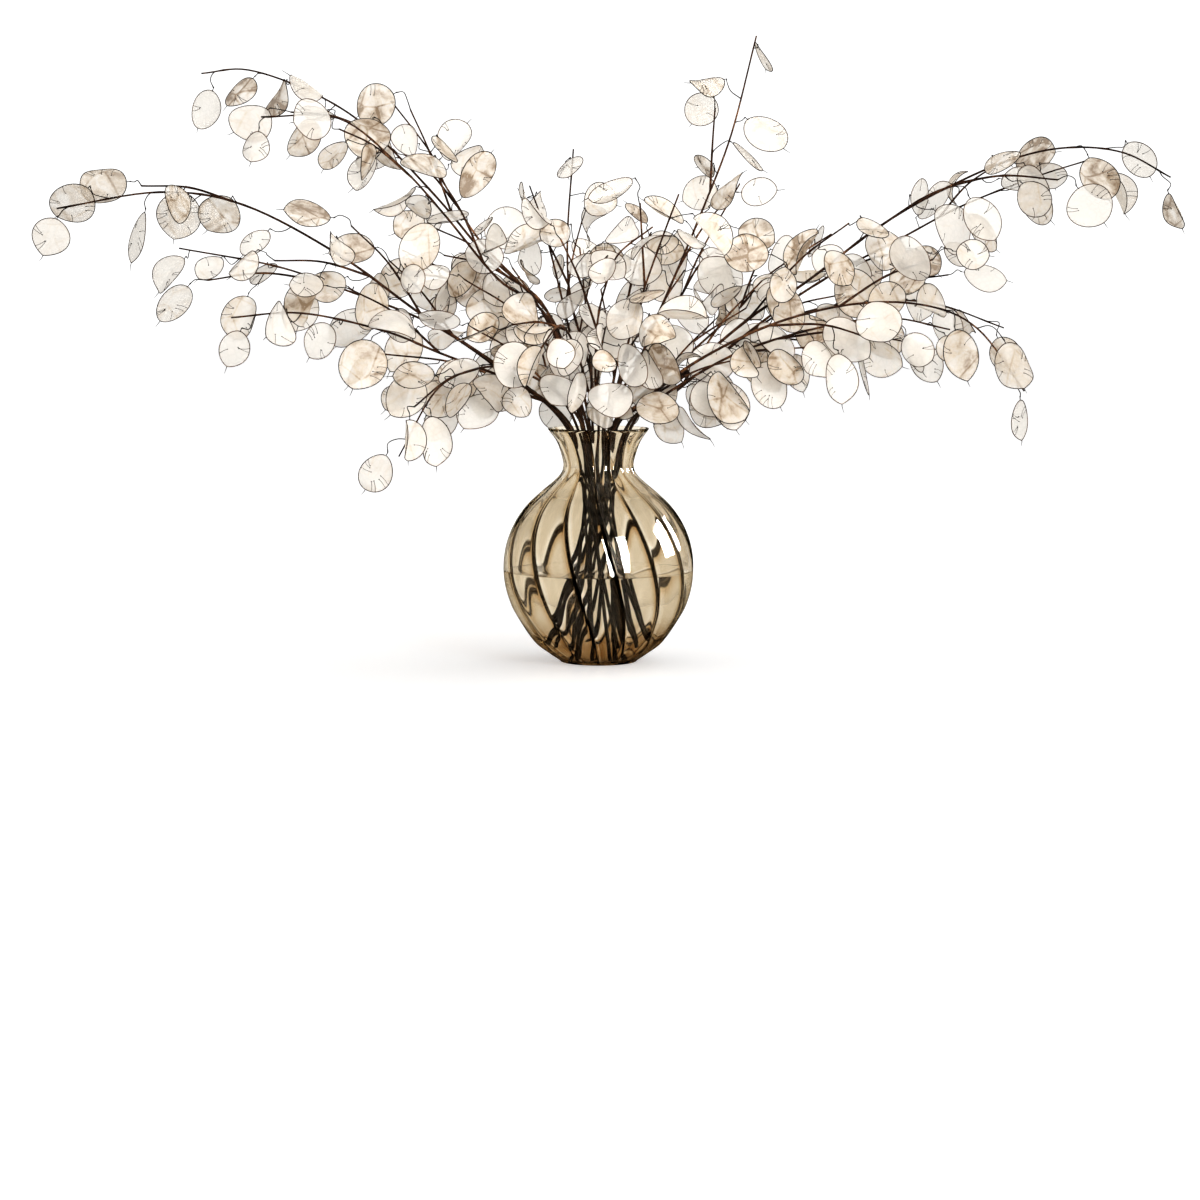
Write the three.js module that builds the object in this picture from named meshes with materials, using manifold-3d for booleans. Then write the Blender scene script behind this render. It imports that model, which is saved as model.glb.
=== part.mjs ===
// Dried honesty (Lunaria annua) in a ribbed glass vase: a bunch of seed pod stems that spray out
// over the rim of a round, melon-ribbed vase and stand in water. Millimetres, +Z up. The origin is
// the middle of the vase's foot, on the table; +X is the right of the spray and -Y is its front.
// Each stem with its forks, pod stalks and pods is one piece. The vase and the water are two more.
import * as THREE from "three";
import { mergeVertices } from "three/addons/utils/BufferGeometryUtils.js";
import Module from "manifold-3d";

// ---------------------------------------------------------------- vase and water dimensions
const RIBS = 14;
const GLASS_SIDES = 2 * RIBS; // one corner on each crest and one in each groove
const RIB_DEPTH = 1.6; // how far a groove between two ribs lies inside the crest
const SWIRL = 39; // degrees that the ribs turn on their way from the rim down to the foot
const BELLY_RADIUS = 96;
const BELLY_HEIGHT = 95; // the belly is a sphere about this point of the axis
const FOOT_RADIUS = 38.5;
// Radius and height of each ring from the foot to the belly, and from the belly to the rim.
const FOOT_PROFILE = [[40.3, 2.2], [50.5, 9], [65.5, 21]];
const NECK_PROFILE = [[40.8, 186.7], [35.4, 197], [37.4, 209], [42.6, 223]];
const RIM_RADIUS = 51;
const VASE_HEIGHT = 236;
const WALL = 4.8; // at a crest of the belly, so that a groove still has 3.2 mm of glass
const NECK_WALL = 4.2;
const LIP = 3.4; // thickness of the rim
const LIP_DROP = 0.8; // how far the lip's inner edge lies below its top
const RIM_EDGE = 1; // bevel round the rim
const FLOOR_THICKNESS = 7;
const FLOOR_RADIUS = 30;
const FLOOR_DISH = 1; // how much higher the glass floor is at its edge
const WATER_LEVEL = 92;
const SEAT_GAP = 0.3; // left between two pieces that touch
// Degrees up the belly, from its lowest point, of each ring of glass, outside and inside.
const OUTSIDE_RINGS = [61, 81, 101, 121, 141];
const INSIDE_RINGS = [46, 74, 102, 128, 147];
const FOOT_FADE = [1, 22]; // heights over which the ribs rise out of the foot
const RIM_FADE = [215, 235]; // and over which they flatten towards the rim
const RIM_RIB_SHARE = 0.4; // what is left of them at the rim

// ---------------------------------------------------------------- stem dimensions
const STEM_FOOT_RADIUS = 2.1;
const STEM_TIP_RADIUS = 1.0;
const FORK_RADIUS = 1.3;
const FORK_TIP_RADIUS = 1.0;
const STEM_SIDES = 4;
const FORK_SIDES = 3;
const STRAIGHT_TOP = 108; // a stem is straight from its foot up to this height
const WAIST_HEIGHT = 192; // where the bunch is narrowest, in the vase's neck
const RIM_PASS_HEIGHT = 241;
// Two rings of stems pass the neck: radius at the foot, at the waist and at the rim.
const RINGS = {
  outer: { foot: 47, waist: 19, rim: 35 },
  inner: { foot: 25, waist: 11, rim: 18 },
};
const FOOT_TURN = 106; // degrees round the axis from a stem's place in the neck to its foot
const FOOT_FACETS = 32; // a stem's foot is set as on a glass floor with this many sides

// ---------------------------------------------------------------- pod dimensions
const POD_LENGTH = [32, 52]; // smallest and largest
const POD_WIDTH_SHARE = [0.8, 0.97]; // width over length
const POD_THICKNESS = 0.8;
const POD_BEND = 3; // most that a pod bows out of its plane
const POD_SAG = 0.5; // how much more the pods lie on the underside of a stem
const STALK_LENGTH = [15, 29];
const STALK_WIDTH = 1.2;
const STALK_ROOT_WIDTH = 0.8;
const TIP_SINK = 2.5; // how far a last pod's stalk reaches back into the end of its fork
// Outline of a pod, from its stalk end to its tip: share of the length, share of half the width.
const POD_OUTLINE = [
  [0.13, 0.62],
  [0.44, 1.0],
  [0.78, 0.76],
];

// ---------------------------------------------------------------- how the pods are spread
const SEED = 2210;
const FORK_SPACING = 150; // length of stem for each fork
const FORK_LENGTH = [75, 165];
const FORK_ZONE = [0.05, 0.8]; // where forks root, as shares of the stem above the rim
const FORK_SPREAD = 22; // degrees between a stem and its fork
const FORK_DROOP = 0.13; // how far a fork's tip hangs, as a share of its length
const FORK_LENGTH_SPREAD = [0.75, 1.1]; // of the length that its place on the stem gives
const FORK_JITTER = 0.5; // of the space between two forks
const POD_SPACING = 44; // along a stem or a fork
const BARE_STEM_SHARE = 0.09; // of the stem above the rim
const BARE_FORK_SHARE = 0.36;
const GOLDEN_TURN = 137.5; // degrees round the stem from one shoot to the next
const POD_JITTER = 0.6; // of the space between two pods
const POD_TIP_SPACE = 0.7; // free space at the end, as a share of that between two pods
const POD_LENGTH_POWER = 0.75; // below 1, so that there are more large pods than small ones
const TIP_POD_SHARE = 0.84; // size of a pod at the tip, as a share of one further down
const STALK_LEAN = [0.8, 1.5]; // sideways part of a stalk's direction, next to 1 along its stem
const TIP_STALK_LEAN = 0.35;
const POD_HANG = [0.15, 1.35]; // downward part of a pod's direction, next to 1 along its stalk
const POD_SWAY = 0.3; // sideways part of it, to either side
const FORK_TRIES = 30;
const FORK_TURN_STEP = 12; // degrees further round that each try may go
const POD_TRIES = 36;
const POD_TURN = 20; // degrees round the stem that the first try may be off
const POD_TURN_STEP = 9;
const STICK_CLEARANCE = 0.9; // between two stalks or stems
const POD_CLEARANCE = 4.2; // between two pods, or a pod and a stalk
const VASE_CLEARANCE = 4;
const ROOT_FREE = 5; // a shoot may touch what it grows from over this length
const POD_CYCLE = 5; // of this many pods in a row,
const LEFT_OUT = [1, 3]; // these are left out, unless they are at a fork's tip

// The stems: which ring, its angle in the neck (0 is +X, 90 is the back), and the points that the
// stem passes above the rim, ending at its tip.
const STEMS = [
  { name: "stem_left_high_back", ring: "inner", angle: 190, path: [
    [-52, 15, 353], [-104, 30, 397], [-163, 45, 466], [-230, 60, 534],
    [-289, 70, 572], [-356, 80, 596], [-405, 86, 593]] },
  { name: "stem_left_high_front", ring: "inner", angle: 230, path: [
    [-50, -14, 345], [-100, -27, 385], [-152, -40, 448], [-195, -46, 495],
    [-253, -54, 540], [-328, -64, 541]] },
  { name: "stem_left_steep", ring: "inner", angle: 150, path: [
    [-42, 34, 335], [-80, 60, 380], [-122, 84, 424], [-157, 104, 479],
    [-174, 114, 515], [-218, 130, 572]] },
  { name: "stem_left_long", ring: "outer", angle: 187, path: [
    [-86, -20, 289], [-175, -42, 350], [-254, -58, 408], [-345, -72, 456],
    [-425, -82, 468], [-523, -93, 452]] },
  { name: "stem_left_back", ring: "outer", angle: 160, path: [
    [-87, 27, 284], [-168, 52, 338], [-263, 68, 375], [-332, 79, 398], [-431, 90, 416]] },
  { name: "stem_left_low", ring: "outer", angle: 214, path: [
    [-74, -52, 279], [-154, -92, 313], [-207, -115, 335], [-283, -140, 352],
    [-348, -158, 348]] },
  { name: "stem_left_droop", ring: "outer", angle: 241, path: [
    [-44, -62, 276], [-83, -103, 298], [-120, -132, 298], [-155, -160, 278],
    [-188, -188, 218]] },
  { name: "stem_middle_back", ring: "inner", angle: 110, path: [
    [-8, 36, 290], [-28, 68, 362], [-32, 95, 426], [-26, 118, 518]] },
  { name: "stem_middle_front", ring: "inner", angle: 270, path: [
    [-3, -42, 280], [-1, -68, 342], [8, -86, 381], [20, -98, 409], [52, -113, 434]] },
  { name: "stem_middle_right", ring: "inner", angle: 310, path: [
    [24, -58, 302], [40, -98, 362], [59, -128, 418], [76, -150, 464]] },
  { name: "stem_tall", ring: "inner", angle: 350, path: [
    [33, 2, 280], [53, 18, 333], [72, 28, 376], [105, 38, 454], [134, 44, 530],
    [159, 50, 628]] },
  { name: "stem_tall_back", ring: "inner", angle: 70, path: [
    [30, 46, 282], [60, 84, 324], [84, 106, 364], [106, 130, 412], [148, 158, 484]] },
  { name: "stem_right_steep", ring: "inner", angle: 30, path: [
    [54, 30, 276], [102, 78, 316], [148, 122, 356], [178, 146, 389], [246, 180, 432]] },
  { name: "stem_right_long", ring: "outer", angle: 357, path: [
    [60, -6, 268], [149, -20, 345], [202, -28, 379], [274, -36, 434], [333, -42, 469],
    [402, -48, 500], [458, -52, 512], [512, -56, 507], [558, -60, 483]] },
  { name: "stem_right_second", ring: "outer", angle: 25, path: [
    [62, 24, 259], [166, 50, 341], [233, 62, 386], [309, 73, 426], [372, 82, 459],
    [446, 92, 488], [503, 100, 506]] },
  { name: "stem_right_back", ring: "outer", angle: 52, path: [
    [60, 58, 263], [118, 98, 307], [200, 132, 345], [275, 154, 361], [354, 174, 359],
    [431, 190, 333]] },
  { name: "stem_right_droop", ring: "outer", angle: 300, path: [
    [46, -56, 266], [94, -92, 304], [164, -120, 340], [239, -140, 360], [307, -155, 360],
    [358, -165, 338], [402, -176, 279]] },
  { name: "stem_right_low", ring: "outer", angle: 329, path: [
    [64, -34, 269], [116, -56, 302], [161, -74, 322], [221, -93, 339], [282, -107, 347],
    [338, -118, 336]] },
  { name: "stem_front", ring: "outer", angle: 270, path: [
    [-10, -66, 276], [-22, -122, 318], [-36, -182, 341], [-52, -278, 322]] },
  { name: "stem_back", ring: "outer", angle: 79, path: [
    [16, 68, 284], [28, 135, 350], [40, 205, 402], [58, 318, 436]] },
  { name: "stem_back_left", ring: "outer", angle: 133, path: [
    [-50, 58, 280], [-98, 118, 336], [-142, 176, 382], [-214, 284, 416]] },
  { name: "stem_back_middle", ring: "outer", angle: 106, path: [
    [-20, 66, 288], [-40, 128, 372], [-58, 184, 440], [-74, 236, 484]] },
];

// ---------------------------------------------------------------- small helpers
const vec = (x, y, z) => new THREE.Vector3(x, y, z);
const radians = (degrees) => (degrees * Math.PI) / 180;
const mix = (low, high, share) => low + (high - low) * share;
const UP = vec(0, 0, 1);

// A repeatable draw of numbers from 0 to 1.
function drawer(seed) {
  let state = seed >>> 0;
  return () => {
    state = (Math.imul(state, 1664525) + 1013904223) >>> 0;
    return state / 4294967296;
  };
}

// ---------------------------------------------------------------- curves
// A smooth curve through points, sampled `steps` times between each two.
function smooth(points, steps) {
  const count = (points.length - 1) * steps;
  const curve = new THREE.CatmullRomCurve3(points, false, "catmullrom", 0.5);
  return Array.from({ length: count + 1 }, (_, i) => curve.getPoint(i / count));
}

// A line of points with its running length, so that a place on it is a share of the length.
function axisOf(points, rootRadius, tipRadius) {
  const reach = [0];
  for (let i = 1; i < points.length; i++) reach.push(reach[i - 1] + points[i].distanceTo(points[i - 1]));
  const length = reach[reach.length - 1];
  const at = (share) => {
    const target = share * length;
    let i = 1;
    while (i < points.length - 1 && reach[i] < target) i++;
    const part = (target - reach[i - 1]) / (reach[i] - reach[i - 1]);
    return {
      point: points[i - 1].clone().lerp(points[i], part),
      way: points[i].clone().sub(points[i - 1]).normalize(),
    };
  };
  const radii = reach.map((r) => mix(rootRadius, tipRadius, r / length));
  return { points, radii, length, at };
}

// Two directions square to `way`, the first level.
function across(way) {
  const level = way.clone().cross(UP);
  if (level.length() < 0.05) level.set(1, 0, 0).addScaledVector(way, -way.x);
  level.normalize();
  return [level, level.clone().cross(way)];
}

// The direction at `degrees` round `way`.
function around(way, degrees) {
  const [level, upward] = across(way);
  level.multiplyScalar(Math.cos(radians(degrees)));
  return level.addScaledVector(upward, Math.sin(radians(degrees)));
}

// ---------------------------------------------------------------- clearance
const sticks = []; // stretches of stem, fork and stalk already grown: a, b, radius, owner
const discs = []; // pods already grown, as flat discs: centre, normal, radius
const STEPS_ALONG = 6; // points at which a stretch is tested against a disc
const RING_POINTS = [[0.55, 6], [1, 12]]; // share of a disc's radius, and points on that ring

function addSticks(points, radii, owner) {
  for (let i = 1; i < points.length; i++)
    sticks.push({ a: points[i - 1], b: points[i], radius: radii[i - 1], owner });
}

// The least distance between two stretches a-b and c-d.
function stretchGap(a, b, c, d) {
  const u = b.clone().sub(a);
  const v = d.clone().sub(c);
  const w = a.clone().sub(c);
  const uu = u.dot(u);
  const uv = u.dot(v);
  const vv = v.dot(v);
  const uw = u.dot(w);
  const vw = v.dot(w);
  const slope = uu * vv - uv * uv;
  const clamp = (x) => Math.min(1, Math.max(0, x));
  let s = slope > 1e-9 ? clamp((uv * vw - vv * uw) / slope) : 0;
  const t = clamp((uv * s + vw) / vv);
  s = clamp((uv * t - uw) / uu);
  return w.addScaledVector(u, s).addScaledVector(v, -t).length();
}

function discGap(point, disc) {
  const offset = point.clone().sub(disc.centre);
  const lift = offset.dot(disc.normal);
  const out = Math.sqrt(Math.max(0, offset.lengthSq() - lift * lift)) - disc.radius;
  return out > 0 ? Math.hypot(out, lift) : Math.abs(lift);
}

function stretchToDisc(a, b, disc) {
  let least = Infinity;
  for (let i = 0; i <= STEPS_ALONG; i++)
    least = Math.min(least, discGap(a.clone().lerp(b, i / STEPS_ALONG), disc));
  return least;
}

// Points over a disc: its middle, a ring about half way out and the edge.
function discPoints(disc) {
  const [level, upward] = across(disc.normal);
  const found = [disc.centre];
  for (const [share, count] of RING_POINTS)
    for (let i = 0; i < count; i++) {
      const turn = (2 * Math.PI * i) / count;
      found.push(disc.centre.clone()
        .addScaledVector(level, Math.cos(turn) * share * disc.radius)
        .addScaledVector(upward, Math.sin(turn) * share * disc.radius));
    }
  return found;
}

function outsideVase(point) {
  if (point.z > VASE_HEIGHT + VASE_CLEARANCE) return true;
  const beside = point.z > BELLY_HEIGHT + BELLY_RADIUS ? RIM_RADIUS : BELLY_RADIUS;
  return Math.hypot(point.x, point.y) > beside + VASE_CLEARANCE;
}

const near = (a, b, limit) => a.distanceToSquared(b) < limit * limit;
const middle = (a, b) => a.clone().lerp(b, 0.5);

// Whether a shoot along `points` from `owner` is clear of everything but what it grows from.
function shootClear(points, radius, owner) {
  for (let i = 1; i < points.length; i++) {
    const way = points[i].clone().sub(points[i - 1]);
    const length = way.length();
    const a = i === 1 ? points[0].clone().addScaledVector(way, ROOT_FREE / length) : points[i - 1];
    const b = points[i];
    const centre = middle(a, b);
    if (!outsideVase(b)) return false;
    for (const s of sticks) {
      if (s.owner === owner && i === 1) continue;
      const limit = radius + s.radius + STICK_CLEARANCE;
      if (!near(centre, middle(s.a, s.b), limit + (length + s.a.distanceTo(s.b)) / 2)) continue;
      if (stretchGap(a, b, s.a, s.b) < limit) return false;
    }
    for (const d of discs) {
      if (!near(centre, d.centre, d.radius + length / 2 + POD_CLEARANCE)) continue;
      if (stretchToDisc(a, b, d) < POD_CLEARANCE) return false;
    }
  }
  return true;
}

// Whether a pod's disc is clear of every stretch, every other pod and the vase.
function discClear(disc) {
  const own = discPoints(disc);
  if (!own.every(outsideVase)) return false;
  for (const s of sticks) {
    const reach = disc.radius + s.a.distanceTo(s.b) / 2 + s.radius + POD_CLEARANCE;
    if (!near(disc.centre, middle(s.a, s.b), reach)) continue;
    if (stretchToDisc(s.a, s.b, disc) < s.radius + POD_CLEARANCE) return false;
  }
  for (const d of discs) {
    if (!near(disc.centre, d.centre, disc.radius + d.radius + POD_CLEARANCE)) continue;
    if (own.some((p) => discGap(p, d) < POD_CLEARANCE)) return false;
    if (discPoints(d).some((p) => discGap(p, disc) < POD_CLEARANCE)) return false;
  }
  return true;
}

// ---------------------------------------------------------------- growth
function stemAxis(stem) {
  const ring = RINGS[stem.ring];
  const place = (radius, degrees, height) =>
    vec(radius * Math.cos(radians(degrees)), radius * Math.sin(radians(degrees)), height);
  const waist = place(ring.waist, stem.angle, WAIST_HEIGHT);
  const foot = place(ring.foot, stem.angle + FOOT_TURN, footHeight(ring.foot));
  const straight = foot.clone().lerp(waist, (STRAIGHT_TOP - foot.z) / (waist.z - foot.z));
  const rim = place(ring.rim, stem.angle, RIM_PASS_HEIGHT);
  const shaped = smooth([foot, straight, waist, rim, ...stem.path.map((p) => vec(...p))], 2);
  shaped.splice(1, 1); // the stretch in the water has no bend
  return axisOf(shaped, STEM_FOOT_RADIUS, STEM_TIP_RADIUS);
}

// The share of a stem's length at which it passes the rim.
function rimShare(axis) {
  const step = 0.005;
  let share = 0;
  while (axis.at(share).point.z < RIM_PASS_HEIGHT) share += step;
  return share;
}

// One fork at `share` of a stem, the first of several draws that is clear, or null.
function growFork(stem, share, turn, draw) {
  const root = stem.axis.at(share);
  const full = mix(FORK_LENGTH[1], FORK_LENGTH[0], (share - stem.bare) / (1 - stem.bare));
  for (let attempt = 0; attempt < FORK_TRIES; attempt++) {
    const length = full * mix(...FORK_LENGTH_SPREAD, draw());
    const side = around(root.way, turn + mix(-1, 1, draw()) * attempt * FORK_TURN_STEP);
    const way = root.way.clone().multiplyScalar(Math.cos(radians(FORK_SPREAD)))
      .addScaledVector(side, Math.sin(radians(FORK_SPREAD)));
    const half = root.point.clone().addScaledVector(way, length * 0.5);
    const tip = root.point.clone().addScaledVector(way, length);
    tip.addScaledVector(UP, -length * FORK_DROOP);
    const points = [root.point, half, tip];
    if (!shootClear(points, FORK_RADIUS, stem.name)) continue;
    return axisOf(points, FORK_RADIUS, FORK_TIP_RADIUS);
  }
  return null;
}

function growForks(stem, draw) {
  const above = (1 - stem.bare) * stem.axis.length;
  const count = Math.max(1, Math.round(above / FORK_SPACING));
  const forks = [];
  let turn = draw() * 360;
  for (let i = 0; i < count; i++) {
    turn += GOLDEN_TURN;
    const share = mix(stem.bare, 1, mix(...FORK_ZONE, (i + FORK_JITTER * draw()) / count));
    const fork = growFork(stem, share, turn, draw);
    if (!fork) continue;
    addSticks(fork.points, fork.radii, stem.name);
    forks.push(fork);
  }
  return forks;
}

// One pod at `share` of an axis, the first of several draws that is clear, or null.
function growPod(axis, share, turn, isTip, owner, draw) {
  const root = axis.at(share);
  for (let attempt = 0; attempt < POD_TRIES; attempt++) {
    const size = mix(...POD_LENGTH, draw() ** POD_LENGTH_POWER);
    const length = size * mix(1, TIP_POD_SHARE, share ** 3);
    const width = length * mix(...POD_WIDTH_SHARE, draw());
    const stalk = mix(...STALK_LENGTH, draw());
    const side = around(root.way, turn + mix(-1, 1, draw()) * (POD_TURN + attempt * POD_TURN_STEP));
    side.addScaledVector(UP, -POD_SAG).normalize();
    const lean = isTip ? TIP_STALK_LEAN : mix(...STALK_LEAN, draw());
    const start = root.way.clone().addScaledVector(side, lean).normalize();
    const way = start.clone().addScaledVector(UP, -mix(...POD_HANG, draw()));
    way.addScaledVector(side, mix(-1, 1, draw()) * POD_SWAY).normalize();
    const rolls = [draw() * 360, draw() * 360].map((degrees) => around(way, degrees));
    const normal = Math.abs(rolls[0].y) > Math.abs(rolls[1].y) ? rolls[0] : rolls[1];
    const bend = mix(-1, 1, draw()) * POD_BEND;
    const base = root.point.clone().addScaledVector(start, stalk);
    const centre = base.clone().addScaledVector(way, length / 2).addScaledVector(normal, bend * 0.5);
    const disc = { centre, normal, radius: length / 2 };
    if (!shootClear([root.point, base], STALK_WIDTH / 2, owner) || !discClear(disc)) continue;
    addSticks([root.point, base], [STALK_WIDTH / 2, STALK_WIDTH / 2], owner);
    discs.push(disc);
    return { root: root.point, base, way, normal, length, width, bend, isTip };
  }
  return null;
}

function growPods(axis, bareShare, hasTipPod, owner, draw) {
  const count = Math.floor(((1 - bareShare) * axis.length) / POD_SPACING);
  const tipShare = 1 - TIP_SINK / axis.length;
  const pods = [];
  let turn = draw() * 360;
  for (let i = 0; i <= count; i++) {
    turn += GOLDEN_TURN;
    const isTip = hasTipPod && i === count;
    const step = isTip ? count : i + POD_JITTER * draw();
    const share = isTip ? tipShare : mix(bareShare, 1, step / (count + POD_TIP_SPACE));
    const pod = growPod(axis, share, turn, isTip, owner, draw);
    if (pod) pods.push(pod);
  }
  return pods;
}

function growBunch() {
  const draw = drawer(SEED);
  const grown = STEMS.map((stem) => ({ name: stem.name, axis: stemAxis(stem) }));
  for (const stem of grown) {
    stem.bare = rimShare(stem.axis);
    addSticks(stem.axis.points, stem.axis.radii, stem.name);
  }
  for (const stem of grown) stem.forks = growForks(stem, draw);
  for (const stem of grown) {
    const bare = mix(stem.bare, 1, BARE_STEM_SHARE);
    stem.pods = growPods(stem.axis, bare, false, stem.name, draw);
    for (const fork of stem.forks)
      stem.pods.push(...growPods(fork, BARE_FORK_SHARE, true, stem.name, draw));
  }
  return grown;
}

// ---------------------------------------------------------------- solids
const MERGE = 1e-3; // corners nearer than this are one, before a boolean
const WELD = 0.1; // and after it, the two ends of an edge shorter than this
const wasm = await Module();
wasm.setup();

function solidOf(geometry) {
  const bare = new THREE.BufferGeometry().setAttribute("position", geometry.getAttribute("position"));
  if (geometry.index) bare.setIndex(geometry.index);
  const merged = mergeVertices(bare, MERGE);
  return new wasm.Manifold(new wasm.Mesh({
    numProp: 3,
    vertProperties: new Float32Array(merged.attributes.position.array),
    triVerts: new Uint32Array(merged.index.array),
  }));
}

// A joined solid's surface. The corners of an edge shorter than WELD become one, and the triangles
// that this closes up are dropped.
function geometryOf(solid) {
  const mesh = solid.getMesh();
  const positions = new THREE.BufferAttribute(mesh.vertProperties, 3);
  const corners = [];
  for (let i = 0; i < positions.count; i++) corners.push(vec().fromBufferAttribute(positions, i));
  const joined = corners.map((_, i) => i);
  const find = (i) => (joined[i] === i ? i : find(joined[i]));
  const triangles = [];
  for (let i = 0; i < mesh.triVerts.length; i += 3) triangles.push([...mesh.triVerts.slice(i, i + 3)]);
  for (const [a, b, c] of triangles)
    for (const [from, to] of [[a, b], [b, c], [c, a]])
      if (near(corners[from], corners[to], WELD)) joined[find(from)] = find(to);
  const welded = triangles.map((triangle) => triangle.map(find));
  const open = welded.filter((triangle) => new Set(triangle).size === 3);
  const geometry = mergeVertices(geometryFrom(corners, open));
  geometry.computeVertexNormals();
  return geometry;
}

function geometryFrom(points, triangles) {
  const geometry = new THREE.BufferGeometry();
  const numbers = points.flatMap((p) => [p.x, p.y, p.z]);
  geometry.setAttribute("position", new THREE.Float32BufferAttribute(numbers, 3));
  geometry.setIndex(triangles.flat());
  return geometry;
}

// A closed rod along `points`, `radii` thick at each, with flat ends.
function rod(points, radii, sides) {
  const corners = [];
  let side = across(points[1].clone().sub(points[0]).normalize())[0];
  points.forEach((point, i) => {
    const before = points[Math.max(0, i - 1)];
    const after = points[Math.min(points.length - 1, i + 1)];
    const way = after.clone().sub(before).normalize();
    side = side.clone().addScaledVector(way, -side.dot(way)).normalize();
    const other = way.clone().cross(side);
    for (let k = 0; k < sides; k++) {
      const turn = (2 * Math.PI * k) / sides;
      corners.push(point.clone().addScaledVector(side, Math.cos(turn) * radii[i])
        .addScaledVector(other, Math.sin(turn) * radii[i]));
    }
  });
  const triangles = [];
  for (let i = 0; i < points.length - 1; i++)
    for (let k = 0; k < sides; k++) {
      const a = i * sides + k;
      const b = i * sides + ((k + 1) % sides);
      triangles.push([a, b, b + sides], [a, b + sides, a + sides]);
    }
  const last = (points.length - 1) * sides;
  for (let k = 1; k < sides - 1; k++) triangles.push([0, k + 1, k], [last, last + k, last + k + 1]);
  return geometryFrom(corners, triangles);
}

// The cross rows of a pod with its stalk, from the stalk's root to the widest parts of the pod.
function podRows(pod) {
  const { root, base, way, normal, length, width, bend } = pod;
  const start = base.clone().sub(root).normalize();
  const wide = normal.clone().cross(way);
  const row = (centre, along, halfWidth, isStalk) => {
    const left = wide.clone().addScaledVector(along, -wide.dot(along)).normalize();
    return { centre, left, lift: along.clone().cross(left), halfWidth, isStalk };
  };
  const bow = (share) => bend * (1 - (2 * share - 1) ** 2);
  const rows = [row(root, start, STALK_ROOT_WIDTH / 2, true), row(base, way, STALK_WIDTH / 2, true)];
  for (const [share, halfShare] of POD_OUTLINE) {
    const centre = base.clone().addScaledVector(way, share * length).addScaledVector(normal, bow(share));
    rows.push(row(centre, way, (halfShare * width) / 2, false));
  }
  return rows;
}

// A pod with its stalk as one thin blade. Each edge point of the pod is a pair of corners, on the
// upper and the lower face, and both faces are split into triangles alike. The stalk has three
// corners all along: its left pair is a single one.
function podBlade(pod) {
  const points = [];
  const corner = (point) => points.push(point) - 1;
  const pair = (point, lift) => [0.5, -0.5].map((side) =>
    corner(point.clone().addScaledVector(lift, side * POD_THICKNESS)));
  const single = (point) => Array(2).fill(corner(point));
  const rows = podRows(pod).map(({ centre, left, lift, halfWidth, isStalk }) => {
    const leftEdge = centre.clone().addScaledVector(left, halfWidth);
    const rightEdge = centre.clone().addScaledVector(left, -halfWidth);
    return { right: pair(rightEdge, lift), left: isStalk ? single(leftEdge) : pair(leftEdge, lift) };
  });
  const tip = pair(pod.base.clone().addScaledVector(pod.way, pod.length), pod.normal);

  const triangles = [];
  const face = (a, b, c) => triangles.push([a[0], b[0], c[0]], [a[1], c[1], b[1]]);
  const edge = (a, b) => triangles.push([a[0], a[1], b[1]], [a[0], b[1], b[0]]);
  edge(rows[0].left, rows[0].right);
  for (let i = 0; i < rows.length - 1; i++) {
    const [here, next] = [rows[i], rows[i + 1]];
    face(here.right, next.right, next.left);
    face(here.right, next.left, here.left);
    edge(here.right, next.right);
    edge(next.left, here.left);
  }
  const last = rows[rows.length - 1];
  face(last.right, tip, last.left);
  edge(last.right, tip);
  edge(tip, last.left);
  const solidOnes = triangles.filter(([a, b, c]) => a !== b && b !== c && c !== a);
  return geometryFrom(points, solidOnes);
}

function stemSolid(stem) {
  const kept = stem.pods.filter((pod, i) => pod.isTip || !LEFT_OUT.includes(i % POD_CYCLE));
  let solid = solidOf(rod(stem.axis.points, stem.axis.radii, STEM_SIDES));
  for (const fork of stem.forks) solid = solid.add(solidOf(rod(fork.points, fork.radii, FORK_SIDES)));
  for (const pod of kept) solid = solid.add(solidOf(podBlade(pod)));
  return solid;
}

// ---------------------------------------------------------------- vase
// A point of the belly's sphere, `inset` inside it, at `degrees` up from its lowest point.
function bellyPoint(degrees, inset) {
  const radius = BELLY_RADIUS - inset;
  return [radius * Math.sin(radians(degrees)), BELLY_HEIGHT - radius * Math.cos(radians(degrees))];
}

// Radius and height of the inside, from the middle of the glass floor up to the shoulder.
function insideProfile(gap) {
  const floor = [[0, FLOOR_THICKNESS + gap], [FLOOR_RADIUS, FLOOR_THICKNESS + FLOOR_DISH + gap]];
  return [...floor, ...INSIDE_RINGS.map((degrees) => bellyPoint(degrees, WALL + gap))];
}

// Where a profile passes a value of radius (0) or height (1): the other of the two.
function along(profile, known, value) {
  const i = profile.findIndex((p) => p[known] >= value);
  const part = (value - profile[i - 1][known]) / (profile[i][known] - profile[i - 1][known]);
  return mix(profile[i - 1][1 - known], profile[i][1 - known], part);
}

// Height of a stem's foot, so that its outer edge stands on the glass.
function footHeight(radius) {
  const facet = Math.cos(Math.PI / FOOT_FACETS);
  return along(insideProfile(0), 0, (radius + STEM_FOOT_RADIUS) / facet) + SEAT_GAP;
}

const toVectors = (profile) => profile.map(([radius, height]) => new THREE.Vector2(radius, height));

function outsideProfile() {
  const foot = [[0, 0], [FOOT_RADIUS, 0], ...FOOT_PROFILE];
  const belly = OUTSIDE_RINGS.map((degrees) => bellyPoint(degrees, 0));
  const rim = [[RIM_RADIUS, VASE_HEIGHT - RIM_EDGE], [RIM_RADIUS - RIM_EDGE, VASE_HEIGHT]];
  return [...foot, ...belly, ...NECK_PROFILE, ...rim];
}

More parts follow.
